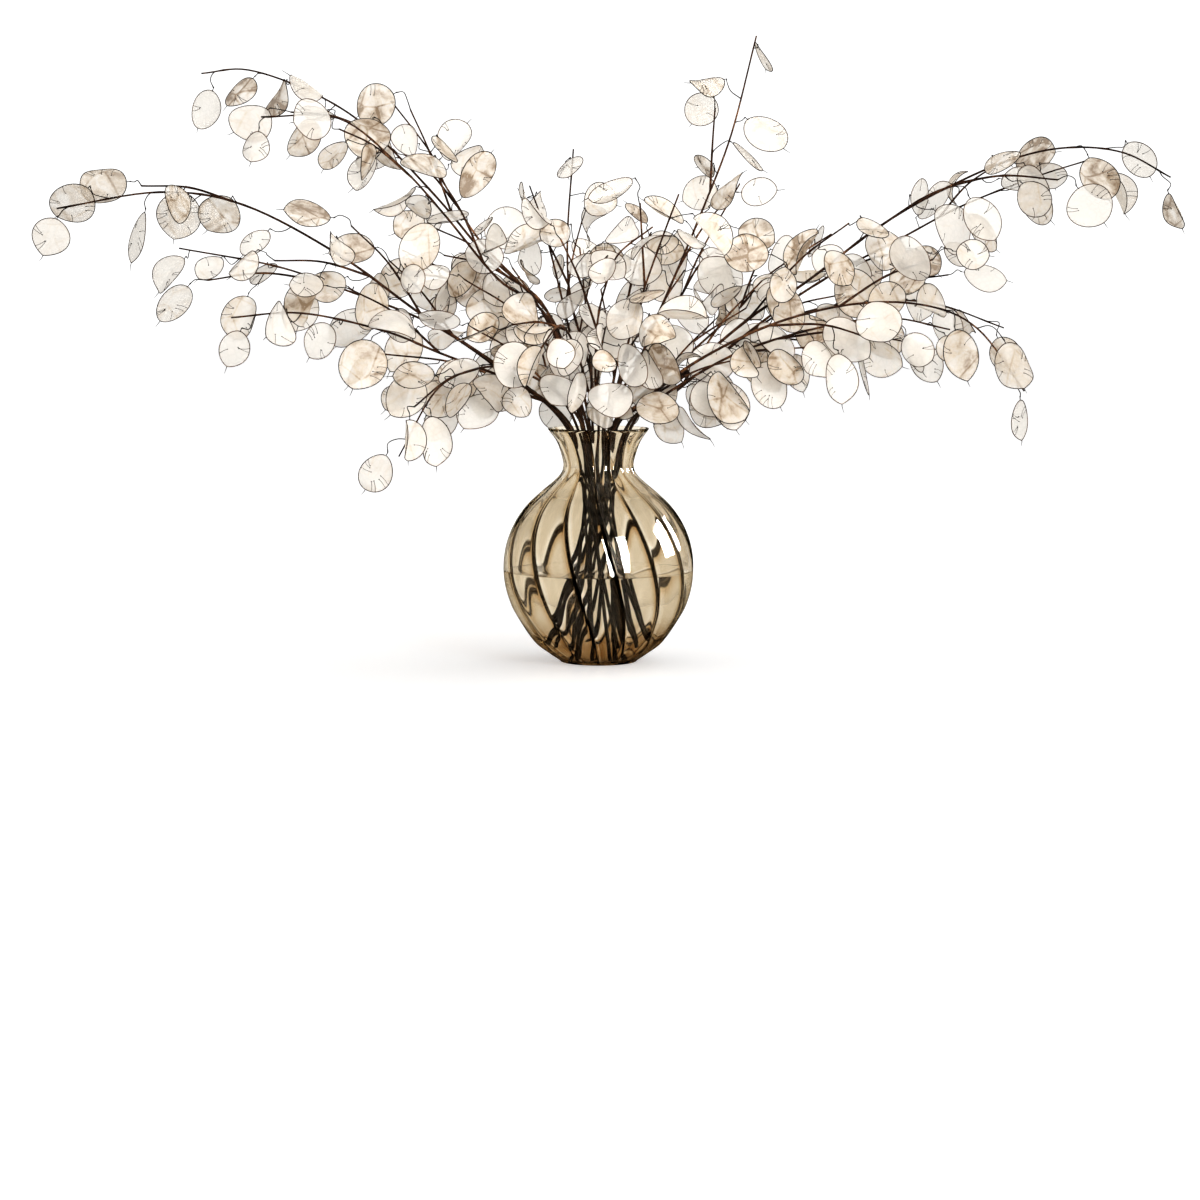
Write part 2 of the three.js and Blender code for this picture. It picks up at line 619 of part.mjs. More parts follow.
// How much the ribs show at a height on the outside, from 0 to 1.
function ribStrength(height) {
  const fromFoot = THREE.MathUtils.smoothstep(height, ...FOOT_FADE);
  const towardsRim = THREE.MathUtils.smoothstep(height, ...RIM_FADE);
  return fromFoot * mix(1, RIM_RIB_SHARE, towardsRim);
}

// Radius and height from the middle of the glass floor, over the rim and down to the foot's middle.
function vaseProfile() {
  const neck = NECK_PROFILE.map(([radius, height]) => [radius - NECK_WALL, height]);
  const inside = [...insideProfile(0), ...neck, [RIM_RADIUS - LIP, VASE_HEIGHT - LIP_DROP]];
  return { points: [...inside, ...outsideProfile().reverse()], insideCount: inside.length };
}

// Outside, the lathe's points are moved in at the grooves and then turned with the swirl.
function vaseGeometry() {
  const { points, insideCount } = vaseProfile();
  const geometry = new THREE.LatheGeometry(toVectors(points), GLASS_SIDES);
  geometry.index.array.reverse(); // the profile runs downwards outside, so the faces point inwards
  geometry.rotateX(Math.PI / 2);
  const position = geometry.getAttribute("position");
  for (let i = 0; i < position.count; i++) {
    const radius = Math.hypot(position.getX(i), position.getY(i));
    const isInside = i % points.length < insideCount;
    if (isInside || radius === 0) continue;
    const height = position.getZ(i);
    const turn = Math.atan2(position.getY(i), position.getX(i));
    const groove = 1 - Math.abs(Math.sin((RIBS * turn) / 2));
    const shaped = radius - RIB_DEPTH * groove * ribStrength(height);
    const turned = turn + radians(SWIRL) * (1 - height / VASE_HEIGHT);
    position.setX(i, shaped * Math.cos(turned));
    position.setY(i, shaped * Math.sin(turned));
  }
  return geometry;
}

// ---------------------------------------------------------------- water
const HOLE_CLEARANCE = 0.3;
const HOLE_BELOW_FOOT = 8; // how far a hole runs on under the stem, out of the water

// The water's body, with a plain hole for each stem.
function waterSolid(stems) {
  const sides = insideProfile(SEAT_GAP);
  const profile = sides.filter(([, height]) => height < WATER_LEVEL);
  const edge = along(sides, 1, WATER_LEVEL) - SEAT_GAP;
  profile.push([edge, WATER_LEVEL], [0, WATER_LEVEL]);
  const body = new THREE.LatheGeometry(toVectors(profile), GLASS_SIDES).rotateX(Math.PI / 2);
  const holeRadius = STEM_FOOT_RADIUS + HOLE_CLEARANCE / Math.cos(Math.PI / STEM_SIDES);
  let solid = solidOf(body);
  for (const stem of stems) {
    const [foot, top] = stem.axis.points;
    const below = foot.clone().addScaledVector(top.clone().sub(foot).normalize(), -HOLE_BELOW_FOOT);
    solid = solid.subtract(solidOf(rod([below, top], [holeRadius, holeRadius], STEM_SIDES)));
  }
  return solid;
}

// ---------------------------------------------------------------- the part
const glass = () => new THREE.MeshStandardMaterial({
  color: 0xa58d62, roughness: 0.05, metalness: 0, transparent: true, opacity: 0.45 });
const clearWater = () => new THREE.MeshStandardMaterial({
  color: 0xe8e2d2, roughness: 0.05, metalness: 0, transparent: true, opacity: 0.3 });
const driedPod = () => new THREE.MeshStandardMaterial({ color: 0xd9cfc0, roughness: 0.7, metalness: 0 });

const part = new THREE.Group();
function addPiece(name, geometry, material) {
  const mesh = new THREE.Mesh(geometry, material);
  mesh.name = name;
  part.add(mesh);
}

const stems = growBunch();
addPiece("vase", vaseGeometry(), glass());
addPiece("water", geometryOf(waterSolid(stems)), clearWater());
for (const stem of stems) addPiece(stem.name, geometryOf(stemSolid(stem)), driedPod());

export default part;
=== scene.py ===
"""Looks of dried honesty (Lunaria annua) in a ribbed glass vase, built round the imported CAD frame.

Every stem is grown again by the rule that the part's source has, so that each fork and pod stands
where its solid does, and gets its fine form here: bark, stalks, rims, beaks, seed threads and the
thin curved skins. Lengths are in millimetres until a mesh is made; the stage, the lamps, the
camera and the materials are in metres.
"""
import math
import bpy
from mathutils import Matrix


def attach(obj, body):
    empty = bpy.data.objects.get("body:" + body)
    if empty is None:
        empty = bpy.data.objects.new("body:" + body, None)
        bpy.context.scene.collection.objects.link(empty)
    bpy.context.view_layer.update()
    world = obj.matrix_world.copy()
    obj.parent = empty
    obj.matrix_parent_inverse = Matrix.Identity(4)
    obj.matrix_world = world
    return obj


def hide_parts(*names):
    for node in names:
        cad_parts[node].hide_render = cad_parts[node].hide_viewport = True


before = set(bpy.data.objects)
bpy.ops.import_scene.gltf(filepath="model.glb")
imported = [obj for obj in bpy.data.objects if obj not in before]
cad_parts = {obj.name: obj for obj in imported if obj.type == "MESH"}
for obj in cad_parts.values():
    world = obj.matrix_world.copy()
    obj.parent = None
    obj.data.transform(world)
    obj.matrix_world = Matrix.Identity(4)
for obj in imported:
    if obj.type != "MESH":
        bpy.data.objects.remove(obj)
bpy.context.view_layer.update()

from types import SimpleNamespace

import bmesh
import bpy
import numpy as np
from mathutils import Vector

MM = 0.001

# ---------- sizes of the part's source
RIBS = 14
SWIRL = 39  # degrees that the ribs turn from the rim down to the foot
BELLY_RADIUS = 96
BELLY_HEIGHT = 95
FOOT_RADIUS = 38.5
FOOT_PROFILE = [(40.3, 2.2), (50.5, 9), (65.5, 21)]
NECK_PROFILE = [(40.8, 186.7), (35.4, 197), (37.4, 209), (42.6, 223)]
RIM_RADIUS = 51
VASE_HEIGHT = 236
WALL = 4.8
NECK_WALL = 4.2
LIP = 3.4
LIP_DROP = 0.8
FLOOR_THICKNESS = 7
FLOOR_RADIUS = 30
FLOOR_DISH = 1
WATER_LEVEL = 92
SEAT_GAP = 0.3
FOOT_FADE = (1, 22)
RIM_FADE = (215, 235)
RIM_RIB_SHARE = 0.4
BELLY_BOTTOM = 61  # degrees up the belly where the foot ends
BELLY_TOP = 141  # and where the neck starts
INSIDE_RINGS = (46, 74, 102, 128, 147)
FOOT_FACETS = 32

STEM_FOOT_RADIUS = 2.1
STEM_TIP_RADIUS = 1.0
FORK_RADIUS = 1.3
FORK_TIP_RADIUS = 1.0
STRAIGHT_TOP = 108
WAIST_HEIGHT = 192
RIM_PASS_HEIGHT = 241
RINGS = {
    "outer": {"foot": 47, "waist": 19, "rim": 35},
    "inner": {"foot": 25, "waist": 11, "rim": 18},
}
FOOT_TURN = 106

POD_LENGTH = (32, 52)
POD_WIDTH_SHARE = (0.8, 0.97)
POD_BEND = 3
POD_SAG = 0.5
STALK_LENGTH = (15, 29)
STALK_WIDTH = 1.2
TIP_SINK = 2.5

SEED = 2210
FORK_SPACING = 150
FORK_LENGTH = (75, 165)
FORK_ZONE = (0.05, 0.8)
FORK_SPREAD = 22
FORK_DROOP = 0.13
FORK_LENGTH_SPREAD = (0.75, 1.1)
FORK_JITTER = 0.5
POD_SPACING = 44
BARE_STEM_SHARE = 0.09
BARE_FORK_SHARE = 0.36
GOLDEN_TURN = 137.5
POD_JITTER = 0.6
POD_TIP_SPACE = 0.7
POD_LENGTH_POWER = 0.75
TIP_POD_SHARE = 0.84
STALK_LEAN = (0.8, 1.5)
TIP_STALK_LEAN = 0.35
POD_HANG = (0.15, 1.35)
POD_SWAY = 0.3
FORK_TRIES = 30
FORK_TURN_STEP = 12
POD_TRIES = 36
POD_TURN = 20
POD_TURN_STEP = 9
STICK_CLEARANCE = 0.9
POD_CLEARANCE = 4.2
VASE_CLEARANCE = 4
ROOT_FREE = 5
STEPS_ALONG = 6
RING_POINTS = ((0.55, 6), (1, 12))

# The stems: ring, angle in the neck, and the points that the stem passes above the rim.
STEMS = {
    "stem_left_high_back": ("inner", 190, [
        (-52, 15, 353), (-104, 30, 397), (-163, 45, 466), (-230, 60, 534),
        (-289, 70, 572), (-356, 80, 596), (-405, 86, 593)]),
    "stem_left_high_front": ("inner", 230, [
        (-50, -14, 345), (-100, -27, 385), (-152, -40, 448), (-195, -46, 495),
        (-253, -54, 540), (-328, -64, 541)]),
    "stem_left_steep": ("inner", 150, [
        (-42, 34, 335), (-80, 60, 380), (-122, 84, 424), (-157, 104, 479),
        (-174, 114, 515), (-218, 130, 572)]),
    "stem_left_long": ("outer", 187, [
        (-86, -20, 289), (-175, -42, 350), (-254, -58, 408), (-345, -72, 456),
        (-425, -82, 468), (-523, -93, 452)]),
    "stem_left_back": ("outer", 160, [
        (-87, 27, 284), (-168, 52, 338), (-263, 68, 375), (-332, 79, 398), (-431, 90, 416)]),
    "stem_left_low": ("outer", 214, [
        (-74, -52, 279), (-154, -92, 313), (-207, -115, 335), (-283, -140, 352),
        (-348, -158, 348)]),
    "stem_left_droop": ("outer", 241, [
        (-44, -62, 276), (-83, -103, 298), (-120, -132, 298), (-155, -160, 278),
        (-188, -188, 218)]),
    "stem_middle_back": ("inner", 110, [
        (-8, 36, 290), (-28, 68, 362), (-32, 95, 426), (-26, 118, 518)]),
    "stem_middle_front": ("inner", 270, [
        (-3, -42, 280), (-1, -68, 342), (8, -86, 381), (20, -98, 409), (52, -113, 434)]),
    "stem_middle_right": ("inner", 310, [
        (24, -58, 302), (40, -98, 362), (59, -128, 418), (76, -150, 464)]),
    "stem_tall": ("inner", 350, [
        (33, 2, 280), (53, 18, 333), (72, 28, 376), (105, 38, 454), (134, 44, 530),
        (159, 50, 628)]),
    "stem_tall_back": ("inner", 70, [
        (30, 46, 282), (60, 84, 324), (84, 106, 364), (106, 130, 412), (148, 158, 484)]),
    "stem_right_steep": ("inner", 30, [
        (54, 30, 276), (102, 78, 316), (148, 122, 356), (178, 146, 389), (246, 180, 432)]),
    "stem_right_long": ("outer", 357, [
        (60, -6, 268), (149, -20, 345), (202, -28, 379), (274, -36, 434), (333, -42, 469),
        (402, -48, 500), (458, -52, 512), (512, -56, 507), (558, -60, 483)]),
    "stem_right_second": ("outer", 25, [
        (62, 24, 259), (166, 50, 341), (233, 62, 386), (309, 73, 426), (372, 82, 459),
        (446, 92, 488), (503, 100, 506)]),
    "stem_right_back": ("outer", 52, [
        (60, 58, 263), (118, 98, 307), (200, 132, 345), (275, 154, 361), (354, 174, 359),
        (431, 190, 333)]),
    "stem_right_droop": ("outer", 300, [
        (46, -56, 266), (94, -92, 304), (164, -120, 340), (239, -140, 360), (307, -155, 360),
        (358, -165, 338), (402, -176, 279)]),
    "stem_right_low": ("outer", 329, [
        (64, -34, 269), (116, -56, 302), (161, -74, 322), (221, -93, 339), (282, -107, 347),
        (338, -118, 336)]),
    "stem_front": ("outer", 270, [
        (-10, -66, 276), (-22, -122, 318), (-36, -182, 341), (-52, -278, 322)]),
    "stem_back": ("outer", 79, [
        (16, 68, 284), (28, 135, 350), (40, 205, 402), (58, 318, 436)]),
    "stem_back_left": ("outer", 133, [
        (-50, 58, 280), (-98, 118, 336), (-142, 176, 382), (-214, 284, 416)]),
    "stem_back_middle": ("outer", 106, [
        (-20, 66, 288), (-40, 128, 372), (-58, 184, 440), (-74, 236, 484)]),
}

# ---------- sizes of the fine forms
STEM_THINNING = ((60, 200, 260), (0.85, 0.8, 1))  # heights, and the share of the radius that shows
TIP_THINNING = 0.78  # share of the radius that shows at a tip
BARK_STEPS = 8  # rings between two points of its path
STEM_SIDES = 10
FORK_SIDES = 8
KNOT_SWELL = 0.32  # how much thicker a stem is where a stalk grows from it
KNOT_LENGTH = 2.6

STALK_STEPS = 5
STALK_SIDES = 6
STALK_RADIUS = (0.58, 0.42)  # at its root and at its knee
STALK_ROOT_SWELL = 1.4
STALK_BOW = (0.1, 0.34)  # how far it bows out, as a share of its length
# Its two bends: shares of its length and of its bow, and how far they are moved up the stem.
STALK_BENDS = ((0.3, 1, 1.5), (0.72, 0.8, 0))
STALK_KINK = 1.5
STALK_TONE = 0.75  # of the stalks and beaks of the palest pods
KNEE_BACK = 3.4  # the knee lies this far behind the pod
KNEE_RADIUS = 0.75
KNEE_START = 0.8  # share of the knee's radius one ring before it
COLLAR = (0.8, 0.6)  # the thin collar's start past the knee, and its end in the rim

POD_AROUND = 44
POD_RINGS = 9
POD_RING_POWER = 0.85  # below 1: the rings are closer near the rim
POD_MIDDLE = 0.47  # share of the length where the widest part is
POD_SKEW = (-0.2, 0.3)  # how much wider the end with the beak is
POD_LOPSIDED = 0.08
POD_SWELL = 1.1  # how much larger a shown pod is than the solid's
POD_SLIMMING = (0.8, 1.12)  # of the width
POD_POINTED = (0.0, 0.75)  # how pointed the end with the beak is
POD_BASE_POINTED = 0.25
POD_TONES = (0.9, 1.5)  # powers of the beta curve that darkness is drawn from
BENT_TONE = 0.12  # how much darker a curled or folded pod is
PATTERN_SHIFT = 900  # most that a pod's pattern is shifted by
CURL_SOME = 0.014  # most curvature across an ordinary pod, per mm
CURL_MUCH = (0.03, 0.06)  # curvature of a pod that has rolled up
CURLED_SHARE = 0.27  # of the pods
FOLDED_SHARE = 0.17  # of the pods, along a line from the stalk to the beak
FOLD_ANGLE = (70, 140)
FOLD_PLACE = 0.3  # most that the fold lies off the middle, as a share of half the width
FOLD_WIDTH = 2.2
ROLL_REACH = 40  # mm across a pod that its curling is worked out for
ROLL_POINTS = 321
TWIST = 0.0022  # of an ordinary pod, per mm
TWIST_MUCH = 0.0055  # of a curled or folded one
PUCKERS = 5  # waves over a pod's skin
PUCKER_LENGTH = (4, 10)  # mm for each radian of a wave
PUCKER_START = (0, 6.3)  # radians
PUCKER_DEPTH = 0.5

RIM_TUBE_RADIUS = 0.45
RIM_TUBE_SIDES = 5
BEAK_LENGTH = (5, 9)
BEAK_RADIUS = (0.42, 0.2)
BEAK_BEND = 0.18  # of its length
BEAK_SIDES = 5
FINE_POINTS = 5  # along a beak or a thread
THREAD_COUNT = (2, 4)  # seed threads on a pod
THREAD_LENGTH = (7.5, 13)
THREAD_REACH = 0.36  # the longest, as a share of the pod's width
THREAD_RADIUS = 0.24
THREAD_SIDES = 4
THREAD_BOW = 0.6
THREAD_TONE = 0.5  # of the threads on the palest pods
THREAD_SWAP = 0.7  # share of them that start on the other edge than the one before
THREAD_PLACE = (0.5, 2.3)  # radians round the rim from the beak
THREAD_SLANT = 0.14  # most that it points off the pod's middle, as a share of the length
THREAD_PAIR_SHARE = 0.45  # of them that have a second one beside them
THREAD_PAIR = (0.22, 0.08, 0.9)  # its turn and slant from the first, and share of its length
SCAR_RADIUS = 0.58
SCAR_SHAPE = ((-1, 0.3), (-0.5, 0.9), (0.5, 0.9), (1, 0.3))  # places and radii, as shares
SCAR_SIDES = 6
LOOK_SEED = 77

POINTS_A_RIB = 14
RIB_POWER = 2.5  # above 1: the grooves are narrow and the ribs broad
GROOVE_DEPTH = 1.3  # less than the solid's, which has only two corners a rib
OUTSIDE_STEP = 10  # degrees between two rings of the belly, before smoothing
INSIDE_STEP = 3
PROFILE_STEPS = 5  # points for each stretch of a smoothed profile
FLOOR_STEPS = 4
# Edges of the foot, the rim and the water: how far in from the side, and up or down.
FOOT_EDGE = ((1.2, 0), (0, 0.35))
LIP_EDGE = ((0, 1), (0.5, 0.25), (1.2, 0))
WATER_OVERLAP = 0.15  # how far the water's side lies in the glass
MENISCUS = ((-WATER_OVERLAP, 0.96), (0.8, 0.3), (3, 0))

UP = np.array([0.0, 0.0, 1.0])


# ---------- small helpers
def mix(low, high, share):
    return low + (high - low) * share


def unit(v):
    return v / np.linalg.norm(v)


def drawer(seed):
    """A repeatable draw of numbers from 0 to 1."""
    state = seed

    def draw():
        nonlocal state
        state = (state * 1664525 + 1013904223) % 2**32
        return state / 2**32

    return draw


def smooth(points, steps):
    """A Catmull-Rom curve through points, sampled `steps` times between each two."""
    points = np.asarray(points, float)
    held = np.vstack([2 * points[0] - points[1], points, 2 * points[-1] - points[-2]])
    found = []
    for before, start, end, after in zip(held, held[1:], held[2:], held[3:]):
        leave, arrive = (end - before) / 2, (after - start) / 2
        for t in np.arange(steps) / steps:
            square = (3 * (end - start) - 2 * leave - arrive) * t**2
            cube = (2 * (start - end) + leave + arrive) * t**3
            found.append(start + leave * t + square + cube)
    return np.array([*found, points[-1]])


def axis_of(points, root_radius, tip_radius):
    """A line of points with its radii and running length."""
    points = np.asarray(points, float)
    reach = np.concatenate([[0], np.cumsum(np.linalg.norm(np.diff(points, axis=0), axis=1))])
    radii = mix(root_radius, tip_radius, reach / reach[-1])
    return SimpleNamespace(points=points, radii=radii, reach=reach, length=reach[-1])


def at(axis, share):
    """The point and the direction at a share of an axis."""
    target = share * axis.length
    i = 1
    while i < len(axis.points) - 1 and axis.reach[i] < target:
        i += 1
    part = (target - axis.reach[i - 1]) / (axis.reach[i] - axis.reach[i - 1])
    step = axis.points[i] - axis.points[i - 1]
    return axis.points[i - 1] + part * step, unit(step)


def across(way):
    """Two directions square to `way`, the first level."""
    level = np.cross(way, UP)
    if np.linalg.norm(level) < 0.05:
        level = np.array([1.0, 0, 0]) - way * way[0]
    level = unit(level)
    return level, np.cross(level, way)


def around(way, degrees):
    level, upward = across(way)
    turn = math.radians(degrees)
    return level * math.cos(turn) + upward * math.sin(turn)


# ---------- the vase's profiles
def belly_point(degrees, inset):
    radius = BELLY_RADIUS - inset
    turn = math.radians(degrees)
    return radius * math.sin(turn), BELLY_HEIGHT - radius * math.cos(turn)


def foot_height(radius):
    """Height of a stem's foot, so that its outer edge stands on the solid's glass."""
    inside = [(FLOOR_RADIUS, FLOOR_THICKNESS + FLOOR_DISH)]
    inside += [belly_point(degrees, WALL) for degrees in INSIDE_RINGS[:2]]
    edge = (radius + STEM_FOOT_RADIUS) / math.cos(math.pi / FOOT_FACETS)
    if edge <= FLOOR_RADIUS:
        return FLOOR_THICKNESS + FLOOR_DISH * edge / FLOOR_RADIUS + SEAT_GAP
    radii, heights = zip(*inside)
    return float(np.interp(edge, radii, heights)) + SEAT_GAP


# ---------- clearance while growing
# Columns of a stretch of stem, fork or stalk, and of a pod's flat disc.
START, END, RADIUS, OWNER = slice(0, 3), slice(3, 6), 6, 7
CENTRE, NORMAL, REACH = slice(0, 3), slice(3, 6), 6


class Grown:
    """What has grown so far: stretches and discs, one to a row."""

    def __init__(self):
        self.sticks = np.zeros((0, 8))
        self.discs = np.zeros((0, 7))

    def add_sticks(self, points, radii, owner):
        count = len(points) - 1
        added = [points[:-1], points[1:], radii[:count], np.full(count, owner)]
        self.sticks = np.vstack([self.sticks, np.column_stack(added)])

    def shoot_clear(self, points, radius, owner):
        """Whether a shoot along `points` is clear of everything but what it grows from."""
        for i in range(1, len(points)):
            way = points[i] - points[i - 1]
            start = points[i - 1]
            if i == 1:
                start = start + way * (ROOT_FREE / np.linalg.norm(way))
            if not outside_vase(points[i][None]).all():
                return False
            gaps = stretch_gaps(start, points[i], self.sticks)
            tight = gaps < radius + self.sticks[:, RADIUS] + STICK_CLEARANCE
            if i == 1:
                tight &= self.sticks[:, OWNER] != owner
            if tight.any():
                return False
            steps = mix(start, points[i], np.linspace(0, 1, STEPS_ALONG + 1)[:, None])
            if (disc_gaps(steps, self.discs) < POD_CLEARANCE).any():
                return False
        return True

    def disc_clear(self, disc):
        """Whether a disc is clear of every stretch, every other disc and the vase."""
        own = disc_points(disc)
        if not outside_vase(own).all():
            return False
        shares = np.linspace(0, 1, STEPS_ALONG + 1)[:, None, None]
        steps = mix(self.sticks[:, START], self.sticks[:, END], shares)
        gaps = disc_gaps(steps.reshape(-1, 3), disc[None]).reshape(len(shares), -1)
        if (gaps < self.sticks[:, RADIUS] + POD_CLEARANCE).any():
            return False
        apart = np.linalg.norm(self.discs[:, CENTRE] - disc[CENTRE], axis=1)
        for other in self.discs[apart < disc[REACH] + self.discs[:, REACH] + POD_CLEARANCE]:
            for points, near in ((own, other), (disc_points(other), disc)):
                if (disc_gaps(points, near[None]) < POD_CLEARANCE).any():
                    return False
        return True


def stretch_gaps(a, b, sticks):
    """The least distances between the stretch a-b and each of the others."""
    u, v, w = b - a, sticks[:, END] - sticks[:, START], a - sticks[:, START]
    uu, uv, vv = u @ u, v @ u, (v * v).sum(1)
    uw, vw = w @ u, (w * v).sum(1)
    slope = uu * vv - uv * uv
    with np.errstate(divide="ignore", invalid="ignore"):
        s = np.where(slope > 1e-9, np.clip((uv * vw - vv * uw) / slope, 0, 1), 0)
    t = np.clip((uv * s + vw) / vv, 0, 1)
    s = np.clip((uv * t - uw) / uu, 0, 1)
    return np.linalg.norm(w + s[:, None] * u - t[:, None] * v, axis=1)


def disc_gaps(points, discs):
    """The distances from each point (rows) to each flat disc (columns)."""
    offset = points[:, None] - discs[None, :, CENTRE]
    lift = (offset * discs[:, NORMAL]).sum(2)
    out = np.sqrt(np.maximum(0, (offset**2).sum(2) - lift**2)) - discs[:, REACH]
    return np.where(out > 0, np.hypot(out, lift), np.abs(lift))


def disc_points(disc):
    """Points over a disc: its middle, a ring about half way out and the edge."""
    level, upward = across(disc[NORMAL])
    found = [disc[CENTRE]]
    for share, count in RING_POINTS:
        for i in range(count):
            turn = 2 * math.pi * i / count
            found.append(disc[CENTRE] + level * (math.cos(turn) * share * disc[REACH])
                         + upward * (math.sin(turn) * share * disc[REACH]))
    return np.array(found)


def outside_vase(points):
    beside = np.where(points[:, 2] > BELLY_HEIGHT + BELLY_RADIUS, RIM_RADIUS, BELLY_RADIUS)
    out = np.hypot(points[:, 0], points[:, 1]) > beside + VASE_CLEARANCE
    return out | (points[:, 2] > VASE_HEIGHT + VASE_CLEARANCE)


# ---------- growth
def stem_path(name):
    """The points that a stem's curve passes, from its foot to its tip."""
    ring_name, angle, path = STEMS[name]
    ring = RINGS[ring_name]

    def place(radius, degrees, height):
        turn = math.radians(degrees)
        return np.array([radius * math.cos(turn), radius * math.sin(turn), height])

    waist = place(ring["waist"], angle, WAIST_HEIGHT)
    foot = place(ring["foot"], angle + FOOT_TURN, foot_height(ring["foot"]))
    straight = mix(foot, waist, (STRAIGHT_TOP - foot[2]) / (waist[2] - foot[2]))
    rim = place(ring["rim"], angle, RIM_PASS_HEIGHT)
    return [foot, straight, waist, rim, *np.array(path, float)]


def stem_axis(name):
    shaped = np.delete(smooth(stem_path(name), 2), 1, axis=0)
    return axis_of(shaped, STEM_FOOT_RADIUS, STEM_TIP_RADIUS)


def rim_share(axis):
    step = 0.005
    share = 0
    while at(axis, share)[0][2] < RIM_PASS_HEIGHT:
        share += step
    return share


def grow_fork(stem, share, turn, draw, grown):
    root, root_way = at(stem.axis, share)
    full = mix(FORK_LENGTH[1], FORK_LENGTH[0], (share - stem.bare) / (1 - stem.bare))
    spread = math.radians(FORK_SPREAD)
    for attempt in range(FORK_TRIES):
        length = full * mix(*FORK_LENGTH_SPREAD, draw())
        side = around(root_way, turn + mix(-1, 1, draw()) * attempt * FORK_TURN_STEP)
        way = root_way * math.cos(spread) + side * math.sin(spread)
        tip = root + way * length - UP * (length * FORK_DROOP)
        points = np.array([root, root + way * (length / 2), tip])
        if grown.shoot_clear(points, FORK_RADIUS, stem.number):
            return axis_of(points, FORK_RADIUS, FORK_TIP_RADIUS)
    return None


def grow_forks(stem, draw, grown):
    above = (1 - stem.bare) * stem.axis.length
    count = max(1, math.floor(above / FORK_SPACING + 0.5))
    forks = []
    turn = draw() * 360
    for i in range(count):
        turn += GOLDEN_TURN
        share = mix(stem.bare, 1, mix(*FORK_ZONE, (i + FORK_JITTER * draw()) / count))
        fork = grow_fork(stem, share, turn, draw, grown)
        if fork:
            grown.add_sticks(fork.points, fork.radii, stem.number)
            forks.append(fork)
    return forks


def grow_pod(axis, share, turn, is_tip, owner, draw, grown):
    root, root_way = at(axis, share)
    for attempt in range(POD_TRIES):
        size = mix(*POD_LENGTH, draw() ** POD_LENGTH_POWER)
        length = size * mix(1, TIP_POD_SHARE, share**3)
        width = length * mix(*POD_WIDTH_SHARE, draw())
        stalk = mix(*STALK_LENGTH, draw())
        side = around(root_way, turn + mix(-1, 1, draw()) * (POD_TURN + attempt * POD_TURN_STEP))
        side = unit(side - UP * POD_SAG)
        lean = TIP_STALK_LEAN if is_tip else mix(*STALK_LEAN, draw())
        start = unit(root_way + side * lean)
        way = start - UP * mix(*POD_HANG, draw())
        way = unit(way + side * (mix(-1, 1, draw()) * POD_SWAY))
        rolls = [around(way, draw() * 360) for _ in range(2)]
        normal = rolls[0] if abs(rolls[0][1]) > abs(rolls[1][1]) else rolls[1]
        bend = mix(-1, 1, draw()) * POD_BEND
        base = root + start * stalk
        centre = base + way * (length / 2) + normal * (bend * 0.5)
        disc = np.array([*centre, *normal, length / 2])
        if not grown.shoot_clear(np.array([root, base]), STALK_WIDTH / 2, owner):
            continue
        if not grown.disc_clear(disc):
            continue
        grown.add_sticks(np.array([root, base]), np.full(2, STALK_WIDTH / 2), owner)
        grown.discs = np.vstack([grown.discs, disc])
        return SimpleNamespace(
            axis=axis, share=share, root=root, root_way=root_way, base=base, start=start,
            way=way, normal=normal, length=length, width=width, bend=bend)
    return None


def grow_pods(axis, bare_share, has_tip_pod, owner, draw, grown):
    count = math.floor((1 - bare_share) * axis.length / POD_SPACING)
    pods = []
    turn = draw() * 360
    for i in range(count + 1):
        turn += GOLDEN_TURN
        is_tip = has_tip_pod and i == count
        if is_tip:
            share = 1 - TIP_SINK / axis.length
        else:
            share = mix(bare_share, 1, (i + POD_JITTER * draw()) / (count + POD_TIP_SPACE))
        pod = grow_pod(axis, share, turn, is_tip, owner, draw, grown)
        if pod:
            pods.append(pod)
    return pods


def grow_bunch():
    draw = drawer(SEED)
    grown = Grown()
    stems = []
    for number, name in enumerate(STEMS):
        axis = stem_axis(name)
        stems.append(SimpleNamespace(name=name, number=number, axis=axis, bare=rim_share(axis)))
        grown.add_sticks(axis.points, axis.radii, number)
    for stem in stems:
        stem.forks = grow_forks(stem, draw, grown)
    for stem in stems:
        bare = mix(stem.bare, 1, BARE_STEM_SHARE)
        stem.pods = grow_pods(stem.axis, bare, False, stem.number, draw, grown)
        for fork in stem.forks:
            stem.pods += grow_pods(fork, BARE_FORK_SHARE, True, stem.number, draw, grown)
    return stems


# ---------- meshes
class Form:
    """Points, faces and, for each point, its darkness and its place in the pattern."""

    def __init__(self):
        self.points, self.faces, self.tones, self.places = [], [], [], []

    def add(self, points, faces, tone, places=0):
        first = len(self.points)
        self.points += list(points)
        self.faces += [tuple(first + i for i in face) for face in faces]
        self.tones += list(np.broadcast_to(tone, len(points)))
        self.places += list(np.broadcast_to(places, (len(points), 3)))

    def mesh(self, name):
        mesh = bpy.data.meshes.new(name)
        mesh.from_pydata([[c * MM for c in p] for p in self.points], [], self.faces)
        mesh.shade_smooth()
        tone = mesh.attributes.new("tone", "FLOAT", "POINT")
        tone.data.foreach_set("value", np.array(self.tones, np.float32))
        place = mesh.attributes.new("place", "FLOAT_VECTOR", "POINT")
        place.data.foreach_set("vector", np.array(self.places, np.float32).ravel())
        return mesh


def piece(mesh, material):
    """A shown object, named as its mesh, that rides on the part's one body."""
    obj = bpy.data.objects.new(mesh.name, mesh)
    bpy.context.scene.collection.objects.link(obj)
    obj.data.materials.append(material)
    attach(obj, "root")
    return obj


def full_turn(count):
    return np.arange(count) * (2 * math.pi / count)


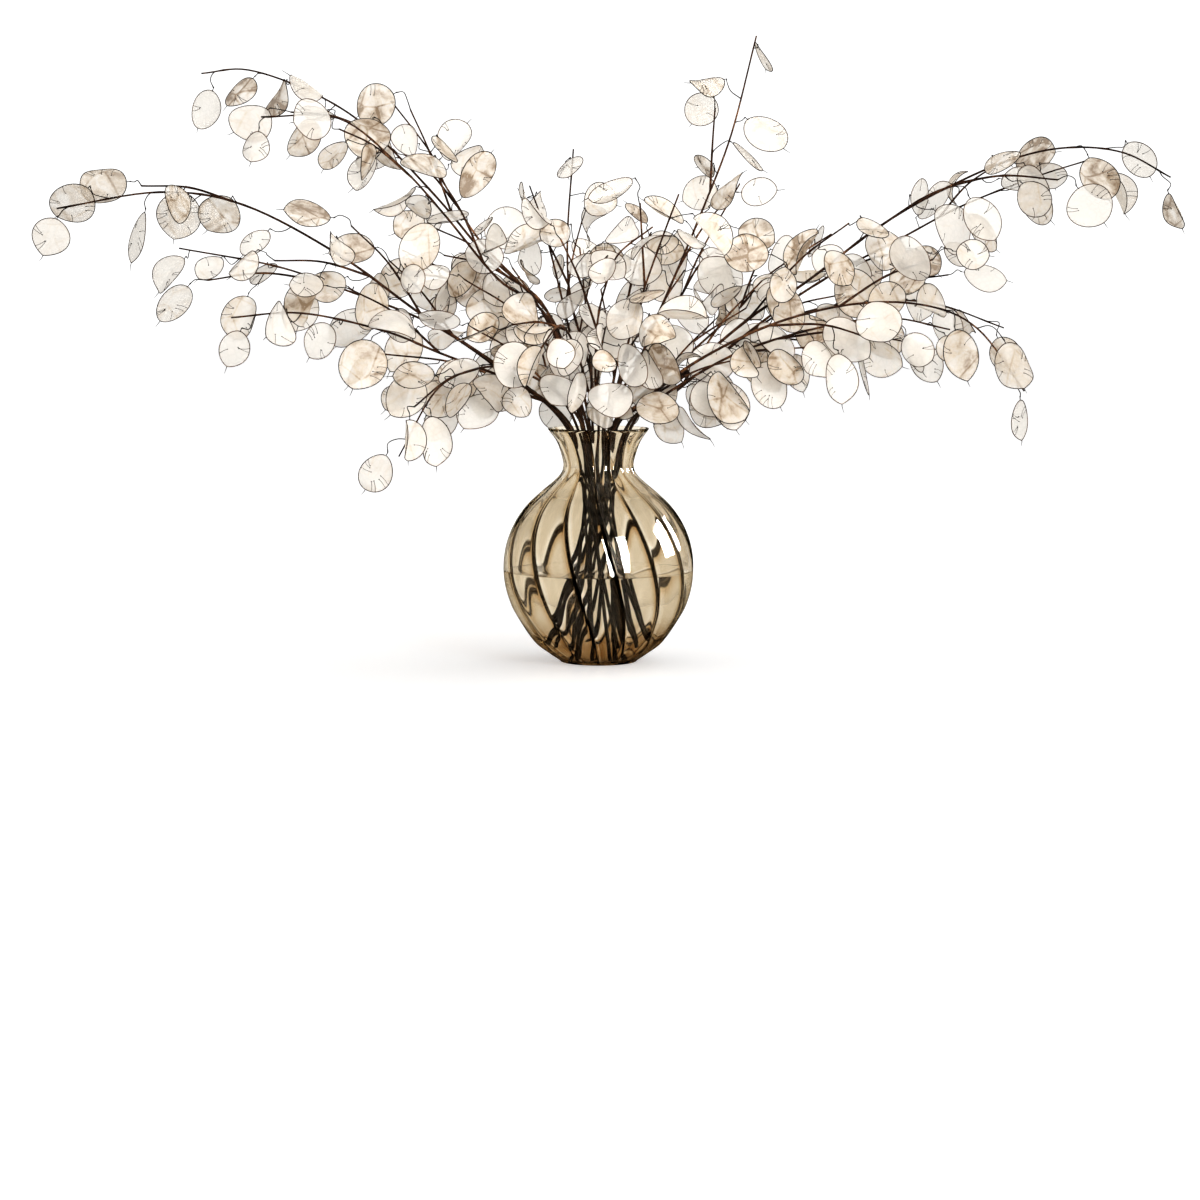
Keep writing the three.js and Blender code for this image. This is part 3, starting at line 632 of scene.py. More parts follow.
def ring_faces(ring_count, around_count):
    faces = []
    for i in range(ring_count - 1):
        for k in range(around_count):
            a, b = i * around_count + k, i * around_count + (k + 1) % around_count
            faces.append((a, b, b + around_count, a + around_count))
    return faces


def tube(form, points, radii, sides, tone=0):
    """A closed round tube along `points`."""
    points = np.asarray(points, float)
    radii = np.broadcast_to(radii, len(points))
    ways = np.gradient(points, axis=0)
    ways /= np.linalg.norm(ways, axis=1)[:, None]
    turns = full_turn(sides)
    side = across(ways[0])[0]
    found = []
    for point, way, radius in zip(points, ways, radii):
        side = unit(side - way * (side @ way))
        other = np.cross(way, side)
        found += [point + radius * (side * math.cos(t) + other * math.sin(t)) for t in turns]
    faces = ring_faces(len(points), sides)
    last = (len(points) - 1) * sides
    faces += [tuple(range(sides))[::-1], tuple(last + k for k in range(sides))]
    form.add(found, faces, tone)


def tapering(axis):
    """The share of the radius that shows, along an axis."""
    return mix(1, TIP_THINNING, axis.reach / axis.length)


def knotted_bark(form, axis, shown, pods, sides):
    """Bark along `shown`, with a knot wherever a pod's stalk grows on the axis."""
    radii = np.array(shown.radii)
    for pod in pods:
        if pod.axis is axis:
            gap = np.linalg.norm(shown.points - at(axis, pod.share)[0], axis=1)
            radii *= 1 + KNOT_SWELL * np.exp(-(gap / KNOT_LENGTH) ** 2)
    tube(form, shown.points, radii, sides)


def nearest(points, target):
    return points[np.argmin(np.linalg.norm(points - target, axis=1))]


def bark_form(stem):
    """A stem and its forks."""
    form = Form()
    shown = axis_of(smooth(stem_path(stem.name), BARK_STEPS), STEM_FOOT_RADIUS, STEM_TIP_RADIUS)
    shown.radii = shown.radii * np.interp(shown.points[:, 2], *STEM_THINNING) * tapering(shown)
    knotted_bark(form, stem.axis, shown, stem.pods, STEM_SIDES)
    stem.axis.fine = shown.points
    for fork in stem.forks:
        start = nearest(stem.axis.fine, fork.points[0])
        shown = axis_of(smooth([start, *fork.points[1:]], BARK_STEPS), FORK_RADIUS, FORK_TIP_RADIUS)
        shown.radii = shown.radii * tapering(shown)
        knotted_bark(form, fork, shown, stem.pods, FORK_SIDES)
        fork.fine = shown.points
    return form


# ---------- pods
def rolling(curl, fold, fold_at):
    """Where a point `off` mm from a pod's middle line lies once the pod is curled and folded."""
    off = np.linspace(-ROLL_REACH, ROLL_REACH, ROLL_POINTS)
    step = off[1] - off[0]
    bump = np.exp(-(((off - fold_at) / FOLD_WIDTH) ** 2)) / (FOLD_WIDTH * math.sqrt(math.pi))
    angle = np.cumsum(curl + fold * bump) * step
    sideways, lift = np.cumsum(np.cos(angle)) * step, np.cumsum(np.sin(angle)) * step
    middle = len(off) // 2
    turn = angle[middle]
    sideways, lift = sideways - sideways[middle], lift - lift[middle]
    return (off, sideways * math.cos(turn) + lift * math.sin(turn),
            lift * math.cos(turn) - sideways * math.sin(turn))


def pod_shape(pod, chance):
    """What makes one pod different from the next."""
    kind = chance.random()
    is_curled, is_folded = kind < CURLED_SHARE, kind > 1 - FOLDED_SHARE
    is_bent = is_curled or is_folded
    curl = chance.uniform(*CURL_MUCH) if is_curled else chance.uniform(0, CURL_SOME)
    fold = math.radians(chance.uniform(*FOLD_ANGLE)) if is_folded else 0
    hand = chance.choice([-1, 1])
    fold_at = chance.uniform(-1, 1) * FOLD_PLACE * pod.width / 2
    waves = [(unit(chance.normal(size=2)) / chance.uniform(*PUCKER_LENGTH),
              chance.uniform(*PUCKER_START)) for _ in range(PUCKERS)]
    return SimpleNamespace(
        rolled=rolling(hand * curl, hand * fold, fold_at), slim=chance.uniform(*POD_SLIMMING),
        skew=chance.uniform(*POD_SKEW), lopsided=chance.uniform(-1, 1) * POD_LOPSIDED,
        pointed=chance.uniform(*POD_POINTED), base_pointed=chance.uniform(0, POD_BASE_POINTED),
        twist=chance.normal() * (TWIST_MUCH if is_bent else TWIST), waves=waves,
        tone=min(1, chance.beta(*POD_TONES) + (BENT_TONE if is_bent else 0)),
        offset=chance.uniform(0, PATTERN_SHIFT, 3))


def outline(pod, shape, turn):
    """Where the rim is at `turn` radians round a pod, 0 at its stalk: along it and across it."""
    along = (1 - np.cos(turn)) / 2
    sharp = mix(shape.base_pointed, shape.pointed, along**2)
    narrow = np.abs(np.sin(turn)) ** sharp * (1 + shape.skew * (along - POD_MIDDLE))
    half = pod.width / 2 * shape.slim * np.sin(turn) * narrow
    half *= 1 + shape.lopsided * np.sign(half)
    return along * pod.length, half


def on_pod(pod, shape, along, off, inward):
    """A point of a pod's skin in space, from its flat place and how far inside the rim it is."""
    wide = np.cross(pod.normal, pod.way)
    share = along / pod.length
    table, sideways, lifted = shape.rolled
    rolled = np.interp(off, table, sideways)
    lift = pod.bend * (1 - (2 * share - 1) ** 2) + np.interp(off, table, lifted)
    lift = lift + shape.twist * off * (along - pod.length / 2)
    for way, phase in shape.waves:
        ripple = np.sin(way[0] * along + way[1] * off + phase)
        lift = lift + PUCKER_DEPTH * ripple * inward
    return (pod.base + np.multiply.outer(along, pod.way) + np.multiply.outer(rolled, wide)
            + np.multiply.outer(lift, pod.normal))


def add_skin(form, pod, shape):
    """The skin of a pod: a thin curved sheet from its middle out to its rim."""
    rim_along, rim_off = outline(pod, shape, full_turn(POD_AROUND))
    middle = POD_MIDDLE * pod.length
    flat = [(np.array([middle]), np.zeros(1), np.ones(1))]
    for ring in range(1, POD_RINGS + 1):
        share = (ring / POD_RINGS) ** POD_RING_POWER
        inward = np.full(POD_AROUND, 1 - share**3)
        flat.append((mix(middle, rim_along, share), rim_off * share, inward))
    along, off, inward = (np.concatenate(part) for part in zip(*flat))
    points = on_pod(pod, shape, along, off, inward)
    faces = []
    for k in range(POD_AROUND):
        after = (k + 1) % POD_AROUND
        faces.append((0, 1 + k, 1 + after))
        for ring in range(POD_RINGS - 1):
            a, b = 1 + ring * POD_AROUND + k, 1 + ring * POD_AROUND + after
            faces.append((a, a + POD_AROUND, b + POD_AROUND, b))
    places = np.stack([along, off, 1 - inward], axis=1) + np.append(shape.offset[:2], 0)
    form.add(points, faces, shape.tone, places)


def add_stalk(form, pod, dark, chance):
    """The bowed stalk with a knee at its end, and the collar from there to the pod."""
    knee = pod.base - pod.way * KNEE_BACK
    root = nearest(pod.axis.fine, pod.root)
    span = knee - root
    side = around(pod.start, chance.uniform(0, 360))
    bow = side * np.linalg.norm(span) * chance.uniform(*STALK_BOW)
    kinks = chance.normal(size=(2, 3)) * STALK_KINK
    bends = [root + span * share + bow * bowed + pod.root_way * rise + kink
             for (share, bowed, rise), kink in zip(STALK_BENDS, kinks)]
    line = smooth([root, *bends, knee], STALK_STEPS)
    radii = np.linspace(*STALK_RADIUS, len(line))
    radii[0] *= STALK_ROOT_SWELL
    radii[-2:] = KNEE_RADIUS * KNEE_START, KNEE_RADIUS
    tube(form, line, radii, STALK_SIDES, dark)
    collar = [knee, knee + pod.way * COLLAR[0], pod.base, pod.base + pod.way * COLLAR[1]]
    tube(form, collar, [KNEE_RADIUS, STALK_RADIUS[1], RIM_TUBE_RADIUS, RIM_TUBE_RADIUS],
         STALK_SIDES, dark)


def add_rim(form, pod, shape):
    along, off = outline(pod, shape, np.linspace(0, 2 * math.pi, POD_AROUND + 1))
    edge = on_pod(pod, shape, along, off, np.zeros(len(along)))
    tube(form, edge, RIM_TUBE_RADIUS, RIM_TUBE_SIDES, shape.tone)


def add_beak(form, pod, shape, dark, chance):
    tip = on_pod(pod, shape, np.array([pod.length]), np.zeros(1), np.zeros(1))[0]
    side = around(pod.way, chance.uniform(0, 360))
    length = chance.uniform(*BEAK_LENGTH)
    shares = np.linspace(0, 1, FINE_POINTS)
    beak = [tip + (pod.way * s + side * BEAK_BEND * s * s) * length for s in shares]
    tube(form, beak, np.linspace(*BEAK_RADIUS, FINE_POINTS), BEAK_SIDES, dark)


def add_thread(form, pod, shape, turn, slant, length):
    """A seed thread from the rim inward, ending in a small dark scar."""
    along, off = outline(pod, shape, turn)
    middle = POD_MIDDLE * pod.length + slant * pod.length
    way = unit(np.array([middle - along, -off]))
    shares = np.linspace(0, 1, FINE_POINTS)
    bow = THREAD_BOW * np.sin(shares * math.pi)
    alongs = along + way[0] * length * shares + way[1] * bow
    offs = off + way[1] * length * shares - way[0] * bow
    points = on_pod(pod, shape, alongs, offs, 1 - (1 - shares * length / pod.width * 2) ** 3)
    tube(form, points, THREAD_RADIUS, THREAD_SIDES, mix(THREAD_TONE, 1, shape.tone))
    end = unit(points[-1] - points[-2])
    scar = [points[-1] + end * (place * SCAR_RADIUS) for place, _ in SCAR_SHAPE]
    radii = SCAR_RADIUS * np.array([radius for _, radius in SCAR_SHAPE])
    tube(form, scar, radii, SCAR_SIDES, shape.tone + 1)


def add_threads(form, pod, shape, chance):
    half = 1
    for _ in range(chance.integers(*THREAD_COUNT, endpoint=True)):
        half = -half if chance.random() < THREAD_SWAP else half
        turn = math.pi + half * chance.uniform(*THREAD_PLACE)
        slant = chance.uniform(-THREAD_SLANT, THREAD_SLANT)
        length = min(chance.uniform(*THREAD_LENGTH), pod.width * THREAD_REACH)
        add_thread(form, pod, shape, turn, slant, length)
        if chance.random() < THREAD_PAIR_SHARE:
            more_turn, more_slant, share = THREAD_PAIR
            add_thread(form, pod, shape, turn + more_turn, slant + more_slant, length * share)


# ---------- vase and water
def rib_strength(height):
    def step(low, high):
        x = np.clip((height - low) / (high - low), 0, 1)
        return x * x * (3 - 2 * x)

    return step(*FOOT_FADE) * mix(1, RIM_RIB_SHARE, step(*RIM_FADE))


def turned_mesh(name, profile, ribbed=0):
    """A closed turned body. The first `ribbed` points of the profile carry the swirling ribs."""
    turns = full_turn(RIBS * POINTS_A_RIB)
    points = []
    for i, (radius, height) in enumerate(np.asarray(profile, float)):
        depth, turned = 0, turns
        if i < ribbed and radius > 0:
            depth = GROOVE_DEPTH * rib_strength(height)
            turned = turns + math.radians(SWIRL) * (1 - height / VASE_HEIGHT)
        radii = radius - depth * (1 - np.abs(np.sin(RIBS * turns / 2))) ** RIB_POWER
        points += list(np.stack([radii * np.cos(turned), radii * np.sin(turned),
                                 np.full(len(turns), height)], axis=1))
    form = Form()
    form.add(points, ring_faces(len(profile), len(turns)), 0)
    mesh = form.mesh(name)
    # The points of a ring on the axis lie together, and become one.
    work = bmesh.new()
    work.from_mesh(mesh)
    bmesh.ops.remove_doubles(work, verts=work.verts, dist=1e-7)
    bmesh.ops.recalc_face_normals(work, faces=work.faces)
    work.to_mesh(mesh)
    work.free()
    mesh.shade_smooth()
    return mesh


def outside_profile():
    """From the middle of the foot up to the top of the rim."""
    foot = [(FOOT_RADIUS - inward, up) for inward, up in FOOT_EDGE]
    belly = [belly_point(d, 0) for d in range(BELLY_BOTTOM, BELLY_TOP + 1, OUTSIDE_STEP)]
    lip = [(RIM_RADIUS - inward, VASE_HEIGHT - down) for inward, down in LIP_EDGE]
    sides = [*FOOT_PROFILE, *belly, *NECK_PROFILE, lip[0]]
    return [(0, 0), *foot, *smooth(sides, PROFILE_STEPS), *lip[1:]]


def inside_profile():
    """From the lip down to the middle of the glass floor."""
    neck = [(radius - NECK_WALL, height) for radius, height in NECK_PROFILE]
    lip = (RIM_RADIUS - LIP, VASE_HEIGHT - LIP_DROP)
    degrees = range(INSIDE_RINGS[0], INSIDE_RINGS[-1] + 1, INSIDE_STEP)
    belly = [belly_point(d, WALL) for d in degrees]
    upper = smooth([belly[-1], *neck, lip], PROFILE_STEPS)[1:]
    floor = [(0, FLOOR_THICKNESS), (FLOOR_RADIUS, FLOOR_THICKNESS + FLOOR_DISH)]
    low = smooth([*floor, belly[0], belly[3]], FLOOR_STEPS)[:2 * FLOOR_STEPS + 1]
    return [*low, *belly[1:], *upper][::-1]


def water_profile():
    side = [(radius + WATER_OVERLAP, height - WATER_OVERLAP)
            for radius, height in inside_profile()[::-1] if height < WATER_LEVEL]
    side[0] = (0, side[0][1])
    edge = math.sqrt((BELLY_RADIUS - WALL) ** 2 - (BELLY_HEIGHT - WATER_LEVEL) ** 2)
    top = [(edge - inward, WATER_LEVEL + up) for inward, up in MENISCUS]
    return [*side, *top, (0, WATER_LEVEL)]


# ---------- materials
def srgb(red, green, blue):
    """A colour given as a screen shows it, 0 to 255, as the shaders want it."""
    def linear(c):
        c /= 255
        return c / 12.92 if c <= 0.04045 else ((c + 0.055) / 1.055) ** 2.4

    return (*map(linear, (red, green, blue)), 1)


WHITE = (1, 1, 1, 1)

# Ramps: stops from 0 to 1, and a colour or a grey at each.
SKIN_SHADES = [(0.0, srgb(224, 221, 215)), (0.3, srgb(218, 212, 204)),
               (0.6, srgb(201, 188, 171)), (1.0, srgb(138, 117, 94))]
SKIN_CLOUDS = [(0.34, 0.32), (0.5, 0.7), (0.66, 1.0)]
SKIN_MOTTLE = [(0.3, 0.75), (0.7, 1.12)]
# Crease lines painted darker: marks of creasing, and painted shade of folds that the flat skin
# lacks.
SKIN_CREASE_SHADE = [(0.01, 0.3), (0.04, 0.0)]
SKIN_VEINS = [(0.0, 0.9), (0.16, 1.0)]
SKIN_DARKENING = 0.15  # added to a pod's own darkness
SKIN_GLOW = (1, 0.987, 0.96, 1)  # what passing through the skin does to light's colour
SKIN_CLEAR = (0.12, 0.4)  # least and most of the skin's clearness
RIM_SHADES = [(0.22, srgb(104, 82, 62)), (0.5, srgb(50, 34, 23)), (0.8, srgb(16, 10, 7))]
BARK_SHADES = [(0.46, srgb(17, 9, 6)), (0.62, srgb(50, 30, 18)), (0.8, srgb(124, 86, 56))]
# Shares of the vase's height, and how bright the bark is there: painted shade makes it nearly black
# in the vase.
BARK_VASE_SHADE = [(0.85, 0.05), (1.0, 1.0)]

GLASS_TINT = (0.818, 0.76, 0.655, 1)
GLASS_IOR = 1.2  # less than real glass's, so that the stems behind it stay readable
# Shares of the vase's height, and the tint there: painted shade, darker and browner towards the
# thick glass of the foot.
FOOT_PAINTED_SHADE = [(0.0, (0.32, 0.25, 0.19, 1)), (0.07, (0.7, 0.59, 0.45, 1)), (0.22, WHITE)]
# Across a rib from one groove to the next: the painted brown shade at its edges, and how clear its
# painted pale highlight streaks are.
PAINTED_EDGE_SHADE = (0.62, 0.45, 0.26, 1)
RIB_EDGE_SHADE = [(0.0, PAINTED_EDGE_SHADE), (0.05, WHITE), (0.8, WHITE), (0.93, (0.72, 0.58, 0.4, 1)),
              (1.0, PAINTED_EDGE_SHADE)]
RIB_PAINTED_HIGHLIGHTS = [(0.05, 0.0), (0.07, 0.9), (0.13, 0.9), (0.19, 0.0), (0.45, 0.0), (0.5, 0.3),
               (0.56, 0.0)]
HIGHLIGHT_STREAK_COLOR = (1, 0.98, 0.94, 1)
# The painted shade line in a groove, standing in for the refraction of dark surroundings: by the
# sine over a rib, and its width at heights in mm.
GROOVE_SHADE_LINE = [(0.09, 1.0), (0.17, 0.0)]
GROOVE_SHADE_COLOR = srgb(10, 6, 3)
GROOVE_SHADE_WIDTHS = [(0, 0.5), (30, 0.6), (95, 1.0), (150, 1.0), (184, 0.1), (200, 0.1), (222, 0.7),
               (236, 0.5)]
WATER_IOR = 1.12  # less than real water's, which swells the stems out of shape


class Nodes:
    """Short names for building the nodes of a material or the world."""

    def __init__(self, owner):
        owner.use_nodes = True
        self.owner = owner
        self.tree = owner.node_tree
        self.tree.nodes.clear()

    def add(self, kind, settings=None, **inputs):
        """A node. Its inputs are given by name, or by number as i0, i1 and so on."""
        node = self.tree.nodes.new("ShaderNode" + kind)
        for key, value in (settings or {}).items():
            setattr(node, key, value)
        for key, value in inputs.items():
            has_number = key[0] == "i" and key[1:].isdigit()
            socket = node.inputs[int(key[1:]) if has_number else key.replace("_", " ")]
            if isinstance(value, bpy.types.NodeSocket):
                self.tree.links.new(value, socket)
            else:
                socket.default_value = value
        return node

    def attribute(self, name):
        return self.add("Attribute", {"attribute_name": name}).outputs

    def place(self):
        return self.add("TexCoord").outputs["Object"]

    def noise(self, place, scale, detail, **more):
        return self.add("TexNoise", Vector=place, Scale=scale, Detail=detail, **more).outputs["Fac"]

    def math(self, operation, a, b=0.0):
        return self.add("Math", {"operation": operation}, i0=a, i1=b).outputs[0]

    def plus(self, a, b):
        return self.math("ADD", a, b)

    def times(self, a, b):
        return self.math("MULTIPLY", a, b)

    def ramp(self, value, stops):
        node = self.add("ValToRGB", Fac=value)
        elements = node.color_ramp.elements
        while len(elements) < len(stops):
            elements.new(0.5)
        for element, (position, color) in zip(elements, stops):
            element.position = position
            element.color = color if isinstance(color, tuple) else (color, color, color, 1)
        return node.outputs[0]

    def blend(self, share, a, b, kind="MIX"):
        settings = {"data_type": "RGBA", "blend_type": kind}
        return self.add("Mix", settings, i0=share, i6=a, i7=b).outputs[2]

    def shader(self, kind, **inputs):
        return self.add("Bsdf" + kind, **inputs).outputs[0]

    def shade(self, share, first, second):
        return self.add("MixShader", i0=share, i1=first, i2=second).outputs[0]

    def clear_to_lamps(self, surface, color):
        """The surface, but a plain tinted sheet to lamps' light."""
        is_shadow = self.add("LightPath").outputs["Is Shadow Ray"]
        return self.shade(is_shadow, surface, self.shader("Transparent", Color=color))

    def done(self, **ends):
        self.add("OutputMaterial", **ends)
        return self.owner


def skin_material():
    """Papery pod skin: pearly, thin, partly see-through, with cloudy patches, veins, and crease
    lines painted darker, partly as painted shade of folds.
    """
    n = Nodes(bpy.data.materials.new("pod_skin"))
    tone, place = n.attribute("tone")["Fac"], n.attribute("place")["Vector"]
    clouds = n.noise(place, 0.036, 4.0, Roughness=0.47, Distortion=1.5)
    mottle = n.noise(place, 0.16, 4.0, Roughness=0.6, Distortion=1.0)
    tone = n.plus(tone, SKIN_DARKENING)
    dark = n.times(n.times(tone, n.ramp(clouds, SKIN_CLOUDS)), n.ramp(mottle, SKIN_MOTTLE))
    large, small = (n.add("TexVoronoi", {"feature": "DISTANCE_TO_EDGE"}, Vector=place, Scale=scale)
                    .outputs["Distance"] for scale in (0.03, 0.16))
    # Partly painted shade: darker crease lines.
    dark = n.plus(dark, n.times(n.ramp(large, SKIN_CREASE_SHADE), tone))
    color = n.blend(0.5, n.ramp(dark, SKIN_SHADES), n.ramp(small, SKIN_VEINS), "MULTIPLY")
    height = n.plus(n.times(mottle, 0.5), clouds)
    bump = n.add("Bump", Strength=0.5, Distance=0.0015, Height=height).outputs[0]
    front = n.shader("Principled", Base_Color=color, Roughness=0.45, Specular_IOR_Level=0.35,
                     Sheen_Weight=0.1, Normal=bump)
    glow = n.blend(1.0, color, SKIN_GLOW, "MULTIPLY")
    body = n.shade(0.5, front, n.shader("Translucent", Color=glow, Normal=bump))
    least, most = SKIN_CLEAR
    seen = n.math("SUBTRACT", most, n.times(dark, 0.3))
    seen = n.add("Clamp", Value=seen, Min=least, Max=most).outputs[0]
    clear = n.shader("Transparent", Color=srgb(249, 246, 241))
    return n.done(Surface=n.shade(seen, body, clear))


def rim_material():
    """Thin brown wood of rims, stalks and beaks: darker on the darker pods."""
    n = Nodes(bpy.data.materials.new("pod_rim"))
    place = n.place()
    patches = n.noise(place, 45.0, 3.0, Roughness=0.6)
    value = n.plus(n.times(n.attribute("tone")["Fac"], 0.6), n.times(patches, 0.7))
    color = n.ramp(value, RIM_SHADES)
    fine = n.noise(place, 900.0, 2.0)
    bump = n.add("Bump", Strength=0.4, Distance=0.0002, Height=fine).outputs[0]
    return n.done(Surface=n.shader("Principled", Base_Color=color, Roughness=0.6, Normal=bump))


def bark_material():
    """Dry stem: nearly black brown, with lighter worn streaks along it, and painted shade in the
    vase.
    """
    n = Nodes(bpy.data.materials.new("stem_bark"))
    place = n.place()
    patches = n.noise(place, 28.0, 4.0, Roughness=0.65)
    streaks = n.noise(place, 260.0, 4.0, Roughness=0.7, Distortion=0.6)
    color = n.ramp(n.plus(n.times(patches, 0.7), n.times(streaks, 0.45)), BARK_SHADES)
    height = n.math("DIVIDE", n.add("SeparateXYZ", Vector=place).outputs["Z"], VASE_HEIGHT * MM)
    # Painted shade: the bark is darkened up to high in the vase.
    color = n.blend(1.0, color, n.ramp(height, BARK_VASE_SHADE), "MULTIPLY")
    bump = n.add("Bump", Strength=0.6, Distance=0.0004, Height=streaks).outputs[0]
    return n.done(Surface=n.shader("Principled", Base_Color=color, Roughness=0.6,
                                   Specular_IOR_Level=0.25, Normal=bump))


def glass_material():
    """Smoky amber glass, with painted highlight streaks and brown edge shade on its ribs, a painted
    shade line in each groove and painted shade on its foot.
    """
    n = Nodes(bpy.data.materials.new("smoky_glass"))
    where = n.add("SeparateXYZ", Vector=n.place()).outputs
    tall = VASE_HEIGHT * MM
    fall = n.times(n.math("SUBTRACT", tall, where["Z"]), math.radians(SWIRL) / tall)
    turn = n.math("SUBTRACT", n.math("ARCTAN2", where["Y"], where["X"]), fall)
    height = n.math("DIVIDE", where["Z"], tall)
    across_rib = n.math("FRACT", n.times(turn, RIBS / (2 * math.pi)))
    # Painted shade: the tint darkens towards the foot.
    tint = n.blend(1.0, GLASS_TINT, n.ramp(height, FOOT_PAINTED_SHADE), "MULTIPLY")
    # Painted shade: brown edges beside the grooves. Painted highlight: pale streaks beside them.
    tint = n.blend(1.0, tint, n.ramp(across_rib, RIB_EDGE_SHADE), "MULTIPLY")
    tint = n.blend(n.ramp(across_rib, RIB_PAINTED_HIGHLIGHTS), tint, HIGHLIGHT_STREAK_COLOR)
    # Painted shade: a dark line in each groove, for the refraction of dark surroundings.
    width = n.ramp(height, [(z / VASE_HEIGHT, share) for z, share in GROOVE_SHADE_WIDTHS])
    rise = n.math("ABSOLUTE", n.math("SINE", n.times(turn, RIBS / 2)))
    line = n.ramp(n.math("DIVIDE", rise, width), GROOVE_SHADE_LINE)
    color = n.blend(line, tint, GROOVE_SHADE_COLOR)
    glass = n.shader("Principled", Base_Color=color, Roughness=0.0, IOR=GLASS_IOR,
                     Transmission_Weight=1.0, Coat_Weight=0.4, Coat_Roughness=0.0, Coat_IOR=1.55,
                     Specular_Tint=(0.2, 0.1, 0.04, 1))
    smoke = n.add("VolumeAbsorption", Color=(0.63, 0.53, 0.34, 1), Density=40.0).outputs[0]
    return n.done(Surface=n.clear_to_lamps(glass, srgb(228, 214, 190)), Volume=smoke)


def water_material():
    n = Nodes(bpy.data.materials.new("vase_water"))
    water = n.shader("Glass", Color=WHITE, Roughness=0.0, IOR=WATER_IOR)
    return n.done(Surface=n.clear_to_lamps(water, WHITE))


# ---------- stage, in metres
# Distance from the vase, and how much the floor glows there, for a soft shadow round the vase.
FLOOR_GLOW = [(0.15, 0.375), (0.6, 0.44), (1.6, 0.62)]
FLOOR_REACH = 4
FLOOR_DROP = 0.0004  # below the vase's foot
# Sine of the height over the horizon, and how bright the studio is there.
WORLD_SHADES = [(-1.0, 0.25), (-0.1, 0.7), (0.0, 1.0), (0.3, 1.0), (0.55, 0.3)]
CAMERA_TILT = 6.071  # degrees down from level
# Lamps: name, place, target, size, watts, and the rays that miss them.
ROOM_LAMPS = (
    ("window", (1.9, -3.1, 1.5), (0, 0, 0.3), (1.4, 2.4), 58, ["glossy"]),
    ("overhead", (1.0, 0.6, 3.2), (0, 0, 0.3), (3, 3), 45, ["glossy"]),
)
# A soft lamp in front, for the bouquet alone.
FILL = ("fill", (0.2, -1.2, 0.65), (0, 0, 0.38), (0.5, 0.4), 2.7, ["glossy", "transmission"])
FILL_SPREAD = 50  # degrees
# Bright windows that only the glass shows.
GLINTS = (
    ("glint_front", (1.62, -2.69, 1.2), (0, 0, 0.12), (0.8, 2.6), 560, ["diffuse", "transmission"]),
    ("glint_side", (2.9, 0.55, 1.3), (0, 0, 0.12), (1.4, 1.6), 530, ["diffuse", "transmission"]),
)


def add_camera():
    data = bpy.data.cameras.new("camera")
    data.sensor_width = 36
    data.lens = 89.7
    camera = bpy.data.objects.new("camera", data)
    bpy.context.scene.collection.objects.link(camera)
    camera.location = (0.0015, -3.003, 0.3815)
    camera.rotation_euler = (math.radians(90 - CAMERA_TILT), 0, 0)
    bpy.context.scene.camera = camera


def add_world():
    world = bpy.data.worlds.new("studio")
    bpy.context.scene.world = world
    n = Nodes(world)
    way = n.add("TexCoord").outputs["Generated"]
    share = n.add("MapRange", Value=n.add("SeparateXYZ", Vector=way).outputs["Z"], From_Min=-1)
    color = n.ramp(share.outputs[0], [((sine + 1) / 2, grey) for sine, grey in WORLD_SHADES])
    sky = n.add("Background", Color=color, Strength=1.03)
    n.add("OutputWorld", Surface=sky.outputs[0])
    world.cycles_visibility.glossy = False


def add_floor():
    n = Nodes(bpy.data.materials.new("pale_floor"))
    far = n.add("VectorMath", {"operation": "LENGTH"}, i0=n.place()).outputs["Value"]
    glow = n.ramp(n.math("DIVIDE", far, FLOOR_REACH), [(r / FLOOR_REACH, g) for r, g in FLOOR_GLOW])
    surface = n.shader("Principled", Base_Color=srgb(250, 249, 248), Roughness=0.32,
                       Emission_Color=WHITE, Emission_Strength=glow)
    bpy.ops.mesh.primitive_plane_add(size=40, location=(0, 0, -FLOOR_DROP))
    floor = bpy.context.object
    floor.name = "floor"
    floor.data.materials.append(n.done(Surface=surface))
    floor.visible_glossy = False
    floor.visible_diffuse = False


